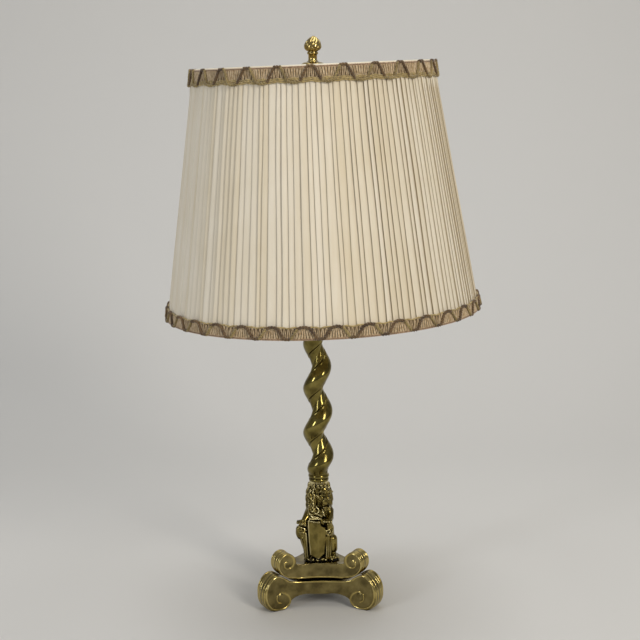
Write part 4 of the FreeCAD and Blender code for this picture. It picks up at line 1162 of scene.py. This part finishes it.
@dataclass
class TwistColumn:
    """Right-handed barley twist: a fat strand that wanders round the axis.

    A crease with a thin lip runs along each side of the strand, where it meets the back that it turns
    inwards.
    """

    pitch: float = 61.5 * MM
    mark_height: float = 89.0 * MM
    front: float = 14.65 * MM
    front_at: float = 5.35 * MM
    back: float = 18.4 * MM
    back_at: float = 11.8 * MM
    end: float = 12.6 * MM
    foot_share: float = 1.06
    taper_share: float = 0.15
    least_share: float = 0.05
    swell: float = 24.0 * MM
    crease_at: float = math.radians(104.0)
    crease_depth: float = 1.7 * MM
    crease_width: float = math.radians(4.2)
    lip: float = 0.85 * MM
    lip_shift: float = 1.7
    belly: float = 1.3 * MM
    blend: float = 0.6 * MM
    blend_span: float = 1.2 * MM
    bore: float = 5.3 * MM
    bore_segments: int = 24
    segments: int = 120
    steps_a_turn: int = 44

    def reach(self, angle: float, share: float) -> float:
        """Return the section's radius at an angle for a share of the strand's wandering."""
        reaches = []
        for radius, offset in ((self.front, self.front_at), (self.back, self.back_at)):
            radius = self.end + (radius - self.end) * share
            offset *= share
            aside = offset * math.sin(angle)
            reaches.append(offset * math.cos(angle) + math.sqrt(radius**2 - aside**2))
        low, high = min(reaches), max(reaches)
        reach = low - self.blend * math.exp(-((high - low) / self.blend_span))
        past = abs(angle) - self.crease_at
        if past > 0.0:
            span = math.pi - self.crease_at
            reach += share * self.belly * math.sin(math.pi * min(1.0, past / span)) ** 0.7
        reach -= share * self.crease_depth * math.exp(-((past / self.crease_width) ** 2))
        lip_past = (past + self.lip_shift * self.crease_width) / self.crease_width
        return reach + share * self.lip * math.exp(-(lip_past**2))

    def build(self) -> bpy.types.Object:
        """Screw the section up the column, draw in its ends and bore it for the pipe."""
        low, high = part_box("twist_column")
        tall = high.z - low.z
        steps = round(self.steps_a_turn * tall / self.pitch)
        shape = bmesh.new()
        ring = bmesh.ops.create_circle(shape, segments=self.segments, radius=1.0)["verts"]
        start = -TURN * self.mark_height / self.pitch
        bmesh.ops.spin(
            shape,
            geom=ring + shape.edges[:],
            cent=(0, 0, 0),
            axis=(0, 0, 1),
            dvec=(0, 0, tall / steps),
            angle=TURN * tall / self.pitch,
            steps=steps,
        )
        for vert in shape.verts:
            height = vert.co.z
            around = math.atan2(vert.co.y, vert.co.x)
            angle = around - start - TURN * height / self.pitch
            angle = (angle + math.pi) % TURN - math.pi
            way = min(1.0, min(height, tall - height) / self.swell)
            share = max(self.least_share, math.sin(0.5 * math.pi * way))
            radius = (self.foot_share - self.taper_share * height / tall) * self.reach(angle, share)
            vert.co = (radius * math.cos(around), radius * math.sin(around), height)
        outer = [e for e in shape.edges if e.is_boundary]
        rings = []
        for height in (0.0, tall):
            hole = bmesh.ops.create_circle(
                shape,
                segments=self.bore_segments,
                radius=self.bore,
                matrix=Matrix.Translation((0, 0, height)),
            )["verts"]
            inner = list({e for v in hole for e in v.link_edges})
            rim = [e for e in outer if abs(e.verts[0].co.z - height) < MM]
            bmesh.ops.bridge_loops(shape, edges=rim + inner)
            rings += inner
        bmesh.ops.bridge_loops(shape, edges=rings)
        bmesh.ops.translate(shape, verts=shape.verts, vec=(0, 0, low.z))
        mesh = mesh_of(shape, "barley_twist")
        return piece("barley_twist", mesh, TWIST_BRASS, Body.ROOT, ("twist_column",))


@dataclass
class Finial:
    """The CAD finial's outline, turned finely, with leaves that wind up its bud."""

    leaves: int = 9
    swirl: float = math.radians(85.0)
    relief: float = 0.9 * MM
    tip_lean: float = 1.6 * MM
    stem_height: float = 9.4 * MM
    ring_height: float = 3.4 * MM
    foot_radius: float = 8.0 * MM
    stem_radius: float = 5.6 * MM
    ring_radius: float = 5.9 * MM
    bud_radius: float = 11.2 * MM
    widest_share: float = 0.3
    bore: float = 4.05 * MM
    bore_depth: float = 15.0 * MM
    segments: int = 112

    def profile(self, tall: float) -> list[tuple[float, float]]:
        """Return the half section, from the bore round the foot and the bud to the tip and back."""
        ring_top = self.stem_height + self.ring_height
        bud = tall - ring_top
        way = [(self.bore, self.bore_depth), (self.bore, 0.0), (self.foot_radius, 0.0)]
        for share in (0.25, 0.5, 0.75, 1.0):
            flare = (self.foot_radius - self.stem_radius) * (1.0 - share) ** 2.2
            way.append((self.stem_radius + flare, self.stem_height * 0.4 * share))
        way.append((self.stem_radius, self.stem_height))
        for step in range(7):
            angle = math.pi * (step / 6.0 - 0.5)
            way.append(
                (
                    self.ring_radius + 0.5 * self.ring_height * 0.8 * math.cos(angle),
                    self.stem_height + 0.5 * self.ring_height * (1.0 + math.sin(angle)),
                )
            )
        way.append((self.ring_radius - 0.2 * MM, ring_top))
        widest = self.bud_radius - 0.45 * self.relief
        for step in range(1, 33):
            share = step / 32.0
            if share < self.widest_share:
                rise = math.sin(0.5 * math.pi * share / self.widest_share)
                radius = self.ring_radius + (widest - self.ring_radius) * rise
            else:
                past = (share - self.widest_share) / (1.0 - self.widest_share)
                radius = widest * max(0.0, 1.0 - past**2.1) ** 0.85
            way.append((radius, ring_top + bud * share))
        way[-1] = (0.0, tall)
        return way + [(0.0, self.bore_depth)]

    def build(self) -> bpy.types.Object:
        """Turn the outline and raise the leaves."""
        low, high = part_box("finial")
        tall = high.z - low.z
        shape = turned(self.profile(tall), self.segments)
        ring_top = self.stem_height + self.ring_height
        for vert in shape.verts:
            radius = math.hypot(vert.co.x, vert.co.y)
            share = (vert.co.z - ring_top) / (tall - ring_top)
            if share < 0.04 or radius < 0.5 * MM:
                continue
            angle = math.atan2(vert.co.y, vert.co.x) - self.swirl * share
            phase = (angle / TURN * self.leaves) % 1.0
            groove = math.exp(-((min(phase, 1.0 - phase) / 0.1) ** 2))
            leaf = 0.3 + 0.35 * math.sin(math.pi * phase) - 1.2 * groove
            fade = min(1.0, share / 0.12) * min(1.0, (1.0 - share) / 0.12)
            scale = 1.0 + self.relief * leaf * fade / max(radius, 4.0 * MM)
            vert.co.x = vert.co.x * scale + self.tip_lean * share**2
            vert.co.y *= scale
        bmesh.ops.translate(shape, verts=shape.verts, vec=(0, 0, low.z))
        mesh = mesh_of(shape, "bud_finial")
        return piece("bud_finial", mesh, TURNED_BRASS, Body.FINIAL, ("finial",))


@dataclass
class ShadeForm:
    """The shade's own upright cone and how it leans, read from its wire rings and its cover."""

    wire: float = 1.5 * MM

    def __post_init__(self) -> None:
        """Work out the leaning frame and the cone."""
        low, high = centre_of("bottom_ring"), centre_of("top_ring")
        axis = high - low
        turn = Vector((0, 0, 1)).rotation_difference(axis).to_matrix().to_4x4()
        self.place = Matrix.Translation(low) @ turn
        self.low = -self.wire
        self.high = axis.length + self.wire
        rings = [(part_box(node)[1].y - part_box(node)[0].y) / 2.0 for node in ("bottom_ring", "top_ring")]
        self.slope = (rings[0] - rings[1]) / axis.length
        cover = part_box("pleated_cover")
        self.foot = (cover[1].y - cover[0].y) / 2.0

    def radius(self, height: float) -> float:
        """Return the cover's outer radius at a height above the bottom ring's wire."""
        return self.foot - self.slope * (height - self.low)

    def point(self, angle: float, height: float, out: float) -> Vector:
        """Return the place at an angle and a height, out from the cover's outer face."""
        reach = self.radius(height) + out
        return self.place @ Vector((reach * math.cos(angle), reach * math.sin(angle), height))

    def outward(self, angle: float) -> Vector:
        """Return the direction that faces out of the shade's side at an angle."""
        slant = Vector((math.cos(angle), math.sin(angle), self.slope)).normalized()
        return self.place.to_3x3() @ slant


def wandering(seed: int, count: int, reach: float) -> list[float]:
    """Return count small random offsets, alike from run to run."""
    source = random.Random(seed)
    return [source.uniform(-reach, reach) for _ in range(count)]


@dataclass
class PleatedCover:
    """Silk laid in narrow knife pleats, each lapping over the next, a little uneven in width and depth."""

    form: ShadeForm
    pleats: int = 142
    depth: float = 1.9 * MM
    rows: int = 56
    top_gap: float = 0.5 * MM
    foot_gap: float = 1.0 * MM
    braid: float = 18.5 * MM
    puff: float = 1.3 * MM
    puff_reach: float = 16.0 * MM
    crumple: float = 1.1 * MM
    crumple_reach: float = 45.0 * MM
    section: tuple[tuple[float, float], ...] = (
        (0.07, 0.30),
        (0.015, 0.80),
        (0.035, 0.97),
        (0.16, 0.95),
        (0.38, 0.78),
        (0.62, 0.55),
        (0.84, 0.30),
        (1.00, 0.00),
    )

    def fold_shade_at(self, point: int) -> float:
        """Return how much painted shade a point of the section takes for lying deep in the folds."""
        return {0: 1.0, 1: 0.7, len(self.section) - 1: 0.75, len(self.section) - 2: 0.12}.get(point, 0.0)

    def sway(self, pleat: int, share: float) -> float:
        """Return how far a pleat's line wanders aside at a share of the height, in pleats."""
        return 0.16 * noise.noise(Vector((pleat * 0.9, share * 2.2, 3.0)))

    def build(self) -> bpy.types.Object:
        """Stack rings and lay them in pleats."""
        form = self.form
        per = len(self.section)
        count = self.pleats * per
        tall = form.high - form.low - self.top_gap - self.foot_gap
        shape = ring_stack(count, self.rows)
        widths = wandering(5, self.pleats, 0.20)
        depths = wandering(6, self.pleats, 0.35)
        tones = wandering(7, self.pleats, 0.22)
        tone = shape.verts.layers.float.new("tone")
        fold_shade = shape.verts.layers.float.new("fold_shade")
        cloth = shape.loops.layers.uv.new("cloth")
        pitch = TURN / self.pleats
        spots = {}
        for vert in shape.verts:
            step = round(math.atan2(vert.co.y, vert.co.x) / TURN * count) % count
            pleat, point = divmod(step, per)
            share = vert.co.z / self.rows
            height = form.low + self.foot_gap + tall * share
            across, proud = self.section[point]
            start = (pleat + widths[pleat] + self.sway(pleat, share)) * pitch
            following = (pleat + 1) % self.pleats
            end = (pleat + 1 + widths[following] + self.sway(following, share)) * pitch
            angle = start + (end - start) * across
            uneven = 0.35 * noise.noise(Vector((pleat * 1.7, share * 3.0, 9.0)))
            relief = self.depth * (1.0 + depths[pleat] + uneven)
            out = relief * proud - self.depth * 1.25
            below_braid = form.high - self.braid - height
            if 0.0 < below_braid < self.puff_reach:
                puff = math.sin(math.pi * (below_braid / self.puff_reach) ** 0.5)
                out += self.puff * puff * math.sin(math.pi * across)
            near_top = max(0.0, 1.0 - (form.high - height) / self.crumple_reach)
            near_foot = max(0.0, 1.0 - (height - form.low) / (0.5 * self.crumple_reach))
            spot = Vector((math.cos(angle) * 26.0, math.sin(angle) * 26.0, height * 90.0))
            out += self.crumple * (near_top + 0.5 * near_foot) * min(0.0, noise.noise(spot))
            vert.co = form.point(angle, height, out)
            vert[tone] = 0.5 + tones[pleat]
            # Painted shade in the folds, deeper in deeper pleats.
            vert[fold_shade] = self.fold_shade_at(point) * (0.75 + 0.5 * depths[pleat])
            spots[vert] = (step / count, height)
        map_cloth(shape, cloth, spots, TURN * form.radius(form.low))
        bmesh.ops.recalc_face_normals(shape, faces=shape.faces)
        mesh = stored(shape, "silk_cover")
        made = piece("silk_cover", mesh, COVER_SILK, Body.SHADE, ("pleated_cover",))
        return made


@dataclass
class Lining:
    """Plain cloth stretched inside the wires and turned over the top ring, where a pale edge of it shows."""

    form: ShadeForm
    segments: int = 256
    rows: int = 24
    inset: float = 7.5 * MM
    top_gap: float = 4.0 * MM
    turnover: float = 2.6 * MM
    turnover_inset: float = 5.6 * MM
    turnover_gap: float = 0.2 * MM
    turnover_steps: int = 8
    gather: float = 0.35 * MM
    gathers: int = 96

    def build(self) -> bpy.types.Object:
        """Stack rings up inside the wires and over the top one."""
        form = self.form
        heights = [(form.high - self.top_gap - form.low) * i / self.rows for i in range(self.rows + 1)]
        way = [(form.low + h, -self.inset) for h in heights]
        middle = form.high - form.wire - self.turnover_gap
        for step in range(1, self.turnover_steps + 1):
            angle = math.pi - math.pi * step / self.turnover_steps
            out = self.turnover * math.cos(angle) - self.turnover_inset
            way.append((middle + self.turnover * math.sin(angle), out))
        shape = ring_stack(self.segments, len(way) - 1)
        tone = shape.verts.layers.float.new("tone")
        fold_shade = shape.verts.layers.float.new("fold_shade")
        cloth = shape.loops.layers.uv.new("cloth")
        spots = {}
        for vert in shape.verts:
            angle = math.atan2(vert.co.y, vert.co.x)
            height, out = way[round(vert.co.z)]
            drift = 2.0 * noise.noise(Vector((angle * 4.0, 0.0, 0.0)))
            ruffle = self.gather * math.sin(angle * self.gathers + drift)
            vert[tone] = 0.5 + 0.3 * noise.noise(Vector((angle * 3.0, height * 8.0, 1.0)))
            # The lining takes no painted shade in folds.
            vert[fold_shade] = 0.0
            spots[vert] = (angle / TURN % 1.0, height)
            vert.co = form.point(angle, height, out - abs(ruffle))
        map_cloth(shape, cloth, spots, TURN * form.foot)
        bmesh.ops.recalc_face_normals(shape, faces=shape.faces)
        mesh = stored(shape, "shade_lining")
        made = piece("shade_lining", mesh, LINING_CLOTH, Body.SHADE, ("lining",))
        return made


class Rim(Enum):
    """The shade's two rims. The value says which way a braid's gold edge faces from there."""

    TOP = -1
    BOTTOM = 1


@dataclass
class Braid:
    """Gimp braid glued round a rim: a looped ground, a gold scalloped edge and a brown zigzag cord.

    The cord rides over the plain edge in a short stop and sags along the gold edge in a longer one.
    """

    form: ShadeForm
    rim: Rim
    tall: float
    periods: int
    inset: float
    ride: float
    lift: float = 0.5 * MM
    margin: float = 2.0 * MM
    segments: int = 240
    rows: int = 4
    loop_pitch: float = 3.7 * MM
    loop_foot: float = 1.6 * MM
    yarn: float = 0.75 * MM
    binding: float = 0.62 * MM
    cord: float = 1.25 * MM
    cord_twist: float = 7.0 * MM
    gold: float = 1.0 * MM
    fan: float = 3.2 * MM
    stop_share: float = 0.2
    sag_share: float = 0.36
    sag: float = 1.5 * MM
    join_angle: float = math.radians(-91.0)

    def __post_init__(self) -> None:
        """Place the braid's plain edge at its rim and count its periods."""
        form = self.form
        at_top = self.rim is Rim.TOP
        self.edge = form.high - self.inset if at_top else form.low + self.inset
        self.round = TURN * (form.radius(self.edge) + self.lift)
        self.period = self.round / self.periods
        self.node = "top_braid" if at_top else "bottom_braid"
        self.strip = self.tall - self.margin

    def at(self, run: float, across: float, out: float) -> Vector:
        """Return the place at a length round the rim and a distance across the braid from its plain edge."""
        angle = self.join_angle + TURN * run / self.round
        return self.form.point(angle, self.edge + self.rim.value * across, self.lift + out)

    def cord_across(self, phase: float) -> float:
        """Return where the zigzag cord runs: over the plain edge, slanting, and sagging at the gold edge."""
        away = abs((phase + 0.5) % 1.0 - 0.5)
        stop, sag = 0.5 * self.stop_share, 0.5 - 0.5 * self.sag_share
        near, far = -self.ride, self.tall - 1.2 * MM
        if away < stop:
            return near
        if away < sag:
            share = (away - stop) / (sag - stop)
            return near + (far - near) * share
        return far + self.sag * math.sin(0.5 * math.pi * (away - sag) / (0.5 - sag))

    def is_dark(self, run: float, phase: float) -> bool:
        """Say whether the cord is dark here: in its stops, and on the slants that climb towards the join."""
        phase %= 1.0
        away = min(phase, 1.0 - phase)
        if away < 0.5 * self.stop_share:
            return True
        if away > 0.5 - 0.5 * self.sag_share:
            return self.rim is Rim.BOTTOM
        return (phase < 0.5) == (run < 0.5 * self.round)

    def twisted(self, run_step: float) -> dict[bool, list[Strand]]:
        """Return the two plies of the zigzag cord, its dark and its olive lengths apart."""
        line, darks = [], []
        run = 0.0
        while run < self.round:
            phase = run / self.period + 0.05 * noise.noise(Vector((run * 21.0, 0.0, float(self.rim.value))))
            line.append(self.at(run, self.cord_across(phase), self.yarn + self.cord))
            darks.append(self.is_dark(run, phase))
            run += run_step
        cords = {True: [], False: []}
        length = 0.0
        ends = None
        for i, place in enumerate(line):
            before, after = line[max(0, i - 1)], line[min(len(line) - 1, i + 1)]
            length += (place - before).length
            way = (after - before).normalized()
            out = self.form.outward(math.atan2(place.y, place.x))
            aside = way.cross(out).normalized()
            spin = TURN * length / self.cord_twist
            offset = (out * math.cos(spin) + aside * math.sin(spin)) * self.cord * 0.8
            if i == 0 or darks[i] != darks[i - 1]:
                firsts = [[end] for end in ends] if ends else [[], []]
                plies = [Strand(first, [self.cord] * len(first)) for first in firsts]
                cords[darks[i]].extend(plies)
            ends = (place + offset, place - offset)
            for ply, end in zip(plies, ends):
                ply.points.append(end)
                ply.radii.append(self.cord)
        return cords

    def scallop(self, run: float, shift: float) -> float:
        """Return how far across the gold edge runs, in shallow scallops of half a period."""
        phase = run / (0.5 * self.period)
        return self.tall - 1.6 * MM - shift + 1.5 * MM * abs(math.sin(math.pi * phase))

    def gold_edge(self, step: float) -> list[Strand]:
        """Return the gold cords that follow the scallops."""
        strands = []
        rows = ((0.0, 0.7 * MM), (1.9 * MM, 1.0 * MM), (3.7 * MM, 0.8 * MM))
        for shift, out in rows if self.rim is Rim.TOP else rows[:1]:
            count = round(self.round / step)
            runs = [self.round * i / count for i in range(count)]
            outs = [out + 0.2 * MM * math.sin(run * 2600.0) for run in runs]
            beads = [self.at(run, self.scallop(run, shift), away) for run, away in zip(runs, outs)]
            radii = [self.gold * (1.0 + 0.22 * math.sin(run * 3000.0)) for run in runs]
            strands.append(Strand(beads, radii, closed=True))
        return strands

    def loops(self) -> list[Strand]:
        """Return the ground's yarn: tall narrow loops side by side round the rim."""
        strands = []
        count = round(self.round / self.loop_pitch)
        source = random.Random(11 + self.rim.value)
        gap = 3.2 * MM if self.rim is Rim.TOP else 0.8 * MM
        near = self.loop_foot
        half = self.loop_pitch * 0.3
        for i in range(count):
            middle = self.round * (i + 0.5) / count
            far = self.scallop(middle, gap) + source.uniform(-0.6, 0.2) * MM
            waist = 0.5 * (near + far)
            bend = self.fan * math.sin(TURN * middle / self.period) + source.uniform(-0.4, 0.4) * MM
            way = (
                (-half, near),
                (-half, waist),
                (-0.5 * half, far),
                (0.5 * half, far),
                (half, waist),
                (half, near),
            )
            points = [self.at(middle + x + bend * y / self.tall, y, self.yarn * 0.7) for x, y in way]
            strands.append(Strand(points, [self.yarn * source.uniform(0.8, 1.1)] * len(points)))
        return strands

    def edge_cord(self, step: float) -> list[Strand]:
        """Return the thin cords that bind the plain edge."""
        count = round(self.round / step)
        strands = []
        for across in (0.2 * MM, 1.5 * MM):
            runs = [self.round * i / count for i in range(count)]
            points = [self.at(run, across + 0.15 * MM * math.sin(run * 2400.0), 0.5 * MM) for run in runs]
            radii = [self.binding * (1.0 + 0.2 * math.sin(run * 3100.0)) for run in runs]
            strands.append(Strand(points, radii, closed=True))
        return strands

    def ground(self) -> bpy.types.Mesh:
        """Return the thin woven strip that carries the yarn; its dark colour is painted shade between the
        loops.
        """
        shape = ring_stack(self.segments, self.rows)
        for vert in shape.verts:
            run = (math.atan2(vert.co.y, vert.co.x) / TURN % 1.0) * self.round
            vert.co = self.at(run, self.strip * vert.co.z / self.rows, 0.0)
        return mesh_of(shape, "ground")

    def build(self) -> list[bpy.types.Object]:
        """Make the strip, its loops, its edges and the zigzag cord."""
        word = self.rim.name.lower()
        cords = self.twisted(0.65 * MM)
        ground = self.ground()
        # The dark ground strip is painted shade between the loops.
        strip = piece(f"{word}_braid_ground", ground, GROUND_SHADE_YARN, Body.SHADE, (self.node,))
        yarns = (
            ("loops", self.loops(), LOOP_YARN),
            ("binding", self.edge_cord(1.3 * MM), EDGE_YARN),
            ("gold", self.gold_edge(1.6 * MM), GOLD_CORD),
            ("dark_cord", cords[True], DARK_CORD),
            ("olive_cord", cords[False], OLIVE_CORD),
        )
        parts = [
            piece(f"{word}_braid_{name}", swept(strands, 0), yarn, Body.SHADE)
            for name, strands, yarn in yarns
        ]
        return [strip, *parts]


@dataclass
class Stage:
    """Plain pale floor and backdrop, soft studio lamps and the photograph's camera."""

    lens: float = 77.0
    distance: float = 1.80
    eye_height: float = 0.7255
    aside: float = 0.0047
    pitch: float = 10.5
    roll: float = -0.8
    floor_colour: str = "#D6D5D2"
    floor_reach: float = 4.0
    backdrop_place: float = 1.6
    backdrop_height: float = 4.0
    backdrop_bend: float = 0.9

    def lamp(self, name: str, place: Vector, size: tuple[float, float], power: float, colour: str) -> None:
        """Hang a soft area lamp that faces the middle of the object."""
        light = bpy.data.lights.new(name, "AREA")
        light.shape = "RECTANGLE"
        light.size, light.size_y = size
        light.energy = power
        light.color = linear(colour)[:3]
        thing = bpy.data.objects.new(name, light)
        thing.location = place
        thing.rotation_euler = (Vector((0, 0, 0.4)) - place).to_track_quat("-Z", "Y").to_euler()
        bpy.context.scene.collection.objects.link(thing)

    def backdrop(self) -> bpy.types.Object:
        """Roll a sheet out along the floor and up behind the lamp in one soft bend."""
        shape = bmesh.new()
        corner = shape.verts.new((-self.floor_reach, self.backdrop_place, 0.0))
        shape.edges.new((shape.verts.new((-self.floor_reach, -self.floor_reach, 0.0)), corner))
        top = shape.verts.new((-self.floor_reach, self.backdrop_place, self.backdrop_height))
        shape.edges.new((corner, top))
        bmesh.ops.bevel(
            shape,
            geom=[corner],
            offset=self.backdrop_bend,
            segments=16,
            profile=0.5,
            affect="VERTICES",
            material=-1,
        )
        swept_out = bmesh.ops.extrude_edge_only(shape, edges=shape.edges[:])["geom"]
        verts = [g for g in swept_out if isinstance(g, bmesh.types.BMVert)]
        bmesh.ops.translate(shape, verts=verts, vec=(2.0 * self.floor_reach, 0.0, 0.0))
        mesh = mesh_of(shape, "backdrop")
        mesh.shade_smooth()
        sheet = bpy.data.objects.new("backdrop", mesh)
        bpy.context.scene.collection.objects.link(sheet)
        paint = bpy.data.materials.new("backdrop_paint")
        paint.use_nodes = True
        shader = paint.node_tree.nodes["Principled BSDF"]
        shader.inputs["Base Color"].default_value = linear(self.floor_colour)
        shader.inputs["Roughness"].default_value = 0.7
        mesh.materials.append(paint)
        return sheet

    def build(self) -> None:
        """Set the stage."""
        scene = bpy.context.scene
        scene.view_settings.view_transform = "Standard"
        self.backdrop()
        world = bpy.data.worlds.new("studio")
        world.use_nodes = True
        sky = world.node_tree.nodes["Background"]
        sky.inputs["Color"].default_value = linear("#CCCBC8")
        sky.inputs["Strength"].default_value = 0.42
        scene.world = world
        self.lamp("window_right", Vector((1.35, -1.9, 1.45)), (0.55, 1.1), 26.0, "#FFF8EE")
        self.lamp("window_left", Vector((-1.9, -1.7, 1.0)), (0.5, 1.0), 13.0, "#F2F6FF")
        self.lamp("ceiling", Vector((0.1, 0.2, 2.6)), (1.8, 1.8), 26.0, "#FFFFFF")
        camera = bpy.data.cameras.new("camera")
        camera.lens = self.lens
        camera.sensor_width = 36.0
        eye = bpy.data.objects.new("camera", camera)
        tilt = Matrix.Rotation(math.radians(90.0 - self.pitch), 4, "X")
        roll = Matrix.Rotation(math.radians(self.roll), 4, "Z")
        place = Matrix.Translation((self.aside, -self.distance, self.eye_height))
        eye.matrix_world = place @ tilt @ roll
        scene.collection.objects.link(eye)
        scene.camera = eye


CAD_FINISHES = {
    "base_lower": BASE_BRASS,
    "base_upper": BASE_BRASS,
    "lion": LION_BRASS,
    "collar": TWIST_BRASS,
    "twist_column": TWIST_BRASS,
    "column_cap": TURNED_BRASS,
    "lamp_pipe": ZINC_STEEL,
    "bottom_washer": ZINC_STEEL,
    "bottom_nut": ZINC_STEEL,
    "cord_bush": BLACK_BUSH,
    "cluster_body": TURNED_BRASS,
    "centre_rod": TURNED_BRASS,
    "shade_rest": TURNED_BRASS,
    "spider_hub": TURNED_BRASS,
    "saucer": TURNED_BRASS,
    "finial": TURNED_BRASS,
    "spider_arms": SHADE_WIRE,
    "top_ring": SHADE_WIRE,
    "bottom_ring": SHADE_WIRE,
    "struts": SHADE_WIRE,
}
SIDE_FINISHES = {
    "arm": TURNED_BRASS,
    "holder_cap": TURNED_BRASS,
    "holder_core": PORCELAIN,
    "holder_shell": TURNED_BRASS,
    "holder_contact": SPRING_BRASS,
    "holder_sleeve": SPRING_BRASS,
    "holder_ring": TURNED_BRASS,
    "key": TURNED_BRASS,
    "bulb_cap": BULB_CAP,
    "bulb_glass": GLASS,
}


def main() -> None:
    """Dress the CAD nodes, build the pieces and set the stage."""
    logging.basicConfig(level=logging.INFO, format="%(message)s")
    Stage().build()
    for node, finish in CAD_FINISHES.items():
        dress(node, finish)
    for part, finish in SIDE_FINISHES.items():
        for word in ("left", "right"):
            dress(f"{part}_{word}", finish)
    Casting("base_lower", 12.0 * MM, FOOT_RIM, FOOT_EDGE, roll=(70.0, 24.0), band=(104.0, -62.0)).build()
    Casting("base_upper", 10.5 * MM, VOLUTE_RIM, VOLUTE_EDGE, roll=(56.0, 22.0), band=(112.0, -62.0)).build()
    Lion().build()
    Collar().build()
    TwistColumn().build()
    Finial().build()
    form = ShadeForm()
    PleatedCover(form).build()
    Lining(form).build()
    Braid(form, Rim.TOP, 18.4 * MM, 25, inset=1.2 * MM, ride=0.4 * MM).build()
    Braid(form, Rim.BOTTOM, 15.2 * MM, 33, inset=1.8 * MM, ride=-1.3 * MM).build()


if __name__ == "__main__":
    main()
